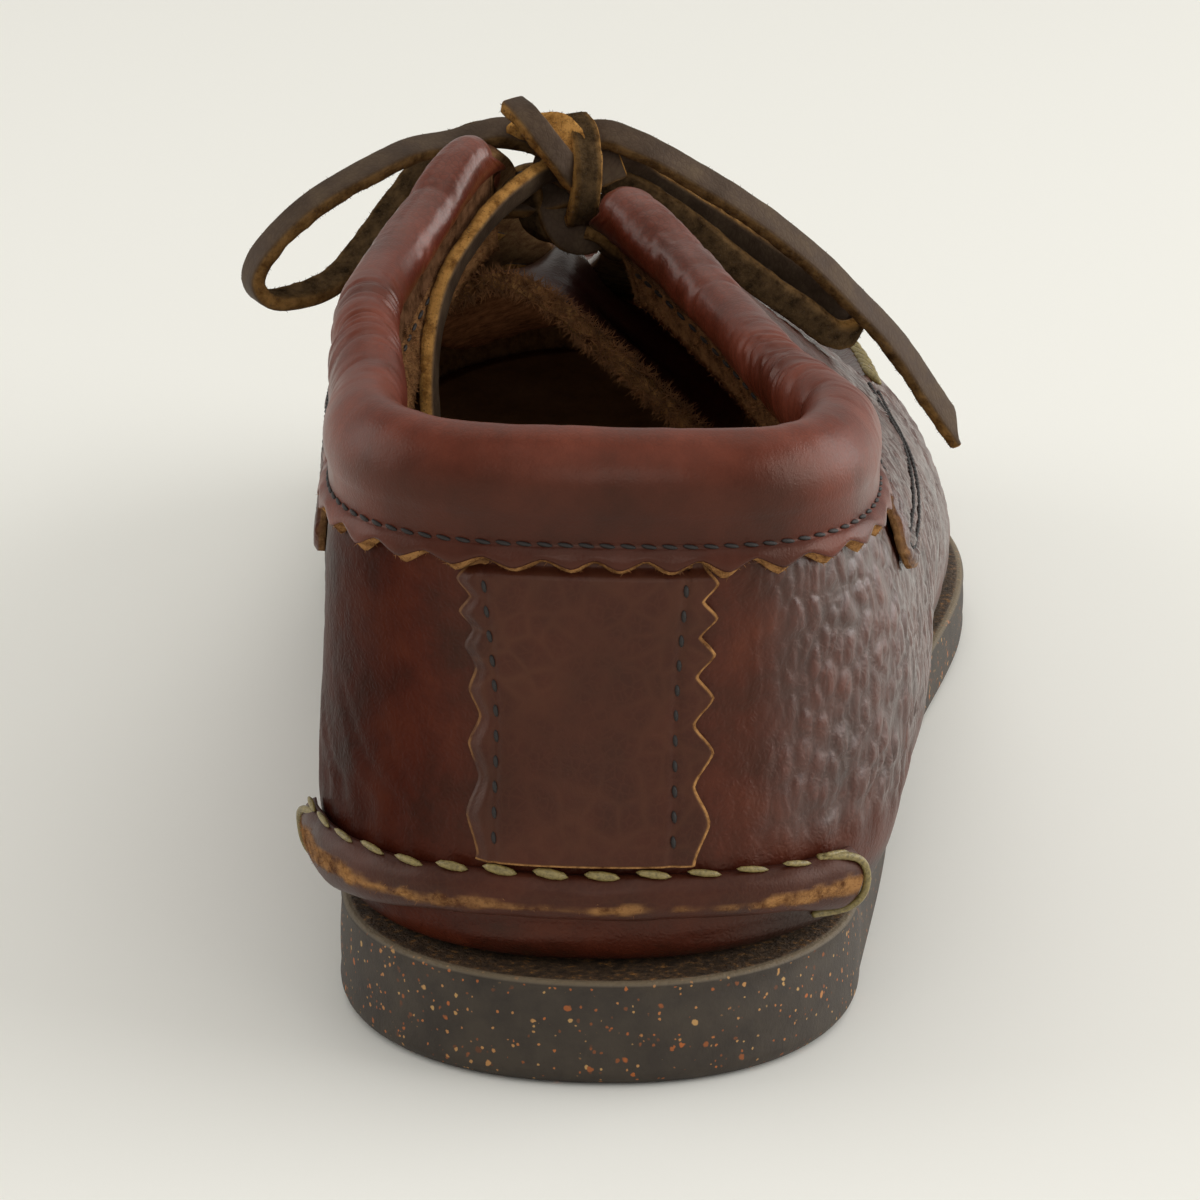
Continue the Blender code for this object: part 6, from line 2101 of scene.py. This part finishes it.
@dataclass
class Eyelets:
    """The three punched holes in each facing, and the lace bars that run between them."""

    last: Last
    finishes: Finishes
    rows: Row = (122.0, 134.0, 146.0)
    from_edge: float = 6.5
    wall: float = 2.2
    over: float = 4.0  # lift of a bar that lies over the overlays
    under: float = -4.7

    def spot(self, side: Side, y: float, down: float, lift: float) -> Array:
        """A point beside a facing's edge, down from it or, where negative, beyond it."""
        s = np.array([side.value * float(self.last.station(y))])
        return self.last.edge(s, np.array([down]), np.array([lift]))[0]

    def bars(self, laces: Laces) -> Pieces:
        """The lace across the gap: under the facings at the top row, over them at the two below."""
        made = []
        for name, y in zip(("lace_bar_top", "lace_bar_middle", "lace_bar_lower"), self.rows):
            hole = self.from_edge
            if y == self.rows[0]:
                stops = ((hole + 0.5, 1.6), (hole, -1.5), (hole - 0.8, self.under), (1.0, self.under))
                middle = [np.array([-13.5, y, 81.0]), np.array([-8.0, y, 80.0])]
            else:
                stops = ((hole + 0.6, -2.4), (hole, 1.5), (hole - 1.4, self.over - 0.4),
                         (1.5, self.over - 0.6), (-2.5, self.over - 1.2))
                middle = []
            route = [self.spot(Side.MEDIAL, y, *stop) for stop in stops] + middle
            route += [self.spot(Side.LATERAL, y, *stop) for stop in reversed(stops)]
            faces = ((0.0, 0.0, 0.3, 1.0), (1.0, 0.0, 0.3, 1.0))
            sweep, _ = laces.ribbon(Thong(name + "_thong", tuple(tuple(p) for p in route), faces))
            piece = sweep.make(name + "_thong", self.last, [self.finishes.lace])
            made.append(settle(piece, "lace_leather", name))
        return made


def join(name: str, parts: Sequence[bpy.types.Object]) -> bpy.types.Object:
    """Makes one mesh piece of several, keeping their attributes."""
    build = bmesh.new()
    for part in parts:
        build.from_mesh(part.data)
    mesh = bpy.data.meshes.new(name)
    build.to_mesh(mesh)
    build.free()
    mesh.materials.append(parts[0].data.materials[0])
    mesh.shade_smooth()
    for part in parts:
        bpy.data.objects.remove(part, do_unlink=True)
    return place_object(name, mesh)


# ---- studio --------------------------------------------------------------------------------------


@dataclass
class Studio:
    """Paper floor, soft lights and the camera."""

    last: Last
    finishes: Finishes
    eye: Row = (26.84, -608.0, 254.68)
    target: Row = (-1.57, 60.0, 45.07)
    roll_degrees: float = -0.66
    lens: float = 158.0
    sensor: float = 36.0
    reach: float = 6.0  # half the floor's side, in metres
    ambient: float = 0.5

    def floor(self) -> None:
        """Lays the paper floor, far enough out to fill the view."""
        mesh = bpy.data.meshes.new("paper_floor")
        corners = [(x * self.reach, y * self.reach, 0) for x, y in ((-1, -1), (1, -1), (1, 1), (-1, 1))]
        mesh.from_pydata(corners, [], [[0, 1, 2, 3]])
        mesh.materials.append(self.finishes.paper)
        place_object("paper_floor", mesh)

    def camera(self) -> None:
        """Sets the camera behind and above the heel."""
        eye, target = (Vector(self.last.place(np.array(point))) for point in (self.eye, self.target))
        ahead = (target - eye).normalized()
        level = ahead.cross(Vector((0, 0, 1))).normalized()
        turn = Matrix.Rotation(math.radians(self.roll_degrees), 3, ahead)
        right = turn @ level
        up = right.cross(ahead)
        data = bpy.data.cameras.new("view")
        data.lens = self.lens
        data.sensor_width = self.sensor
        data.clip_end = 20
        camera = place_object("view", data)
        axes = Matrix((right, up, -ahead)).transposed().to_4x4()
        camera.matrix_world = Matrix.Translation(eye) @ axes
        bpy.context.scene.camera = camera

    def light(self, name: str, place: Row, aim: Row, size: Row, power: float, colour: str) -> None:
        """Hangs one soft box.

        Args:
            name: the light's name.
            place: where it hangs, in metres.
            aim: the point it faces, in metres.
            size: its width and height, in metres.
            power: its power in watts.
            colour: its colour.
        """
        data = bpy.data.lights.new(name, "AREA")
        data.shape = "RECTANGLE"
        data.size, data.size_y = size
        data.energy = power
        data.color = linear(colour)[:3]
        lamp = place_object(name, data)
        lamp.visible_camera = False
        lamp.location = place
        lamp.rotation_euler = (Vector(aim) - Vector(place)).to_track_quat("-Z", "Y").to_euler()

    def build(self) -> None:
        """Sets up the whole studio."""
        self.floor()
        self.camera()
        self.light("overhead box", (0.15, 0.35, 1.5), (0, 0, 0), (1.8, 1.5), 5.4, "#FFFDF8")
        self.light("right box", (1.3, 0.15, 0.45), (0, 0, 0.05), (1.8, 0.9), 15.3, "#FFFFFF")
        self.light("left box", (-1.3, 0.1, 0.5), (0, 0, 0.05), (1.2, 0.9), 4.6, "#FFFFFF")
        self.light("high box", (0.2, -1.2, 1.6), (0, 0, 0.05), (1.6, 1.2), 4.2, "#FFFFFF")
        inside, ahead = self.last.place(np.array([(-4.0, 118.0, 46.0), (-6.0, 215.0, 20.0)]))
        self.light("inner bounce", tuple(inside), tuple(ahead), (0.03, 0.02), 0.004, "#FFE9D2")
        self.light("lens fill", (0.05, -0.80, 0.30), (0, 0, 0.06), (0.25, 0.25), 0.5, "#FFFFFF")
        world = bpy.data.worlds.new("studio")
        bpy.context.scene.world = world
        world.use_nodes = True
        background = world.node_tree.nodes["Background"]
        background.inputs["Color"].default_value = linear("#FAF8F2")
        background.inputs["Strength"].default_value = self.ambient
        bpy.context.scene.view_settings.view_transform = "Standard"


def main() -> None:
    """Loads the frame, dresses the shoe and sets the studio."""
    logging.basicConfig(level=logging.INFO, format="%(message)s")
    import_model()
    last = Last(tuple(np.array(corner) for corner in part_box("outsole")))
    finishes = Finishes()
    Studio(last, finishes).build()
    stitching, nap = Stitching(last), Nap()
    Laces(last, finishes, nap).build(Eyelets(last, finishes))
    Outsole(last, finishes).build()
    Upper(last, finishes, stitching).build()
    collar = Collar(last, finishes, stitching, nap)
    collar.build()
    for side in Side:
        Eyestay(last, finishes, stitching, collar, side).build()
    HeelPanel(last, finishes, stitching, collar).build()
    HeelSeam(last, finishes, stitching, nap).build()
    Insole(last, finishes).build()
    Tongue(last, finishes, nap).build()


if __name__ == "__main__":
    main()
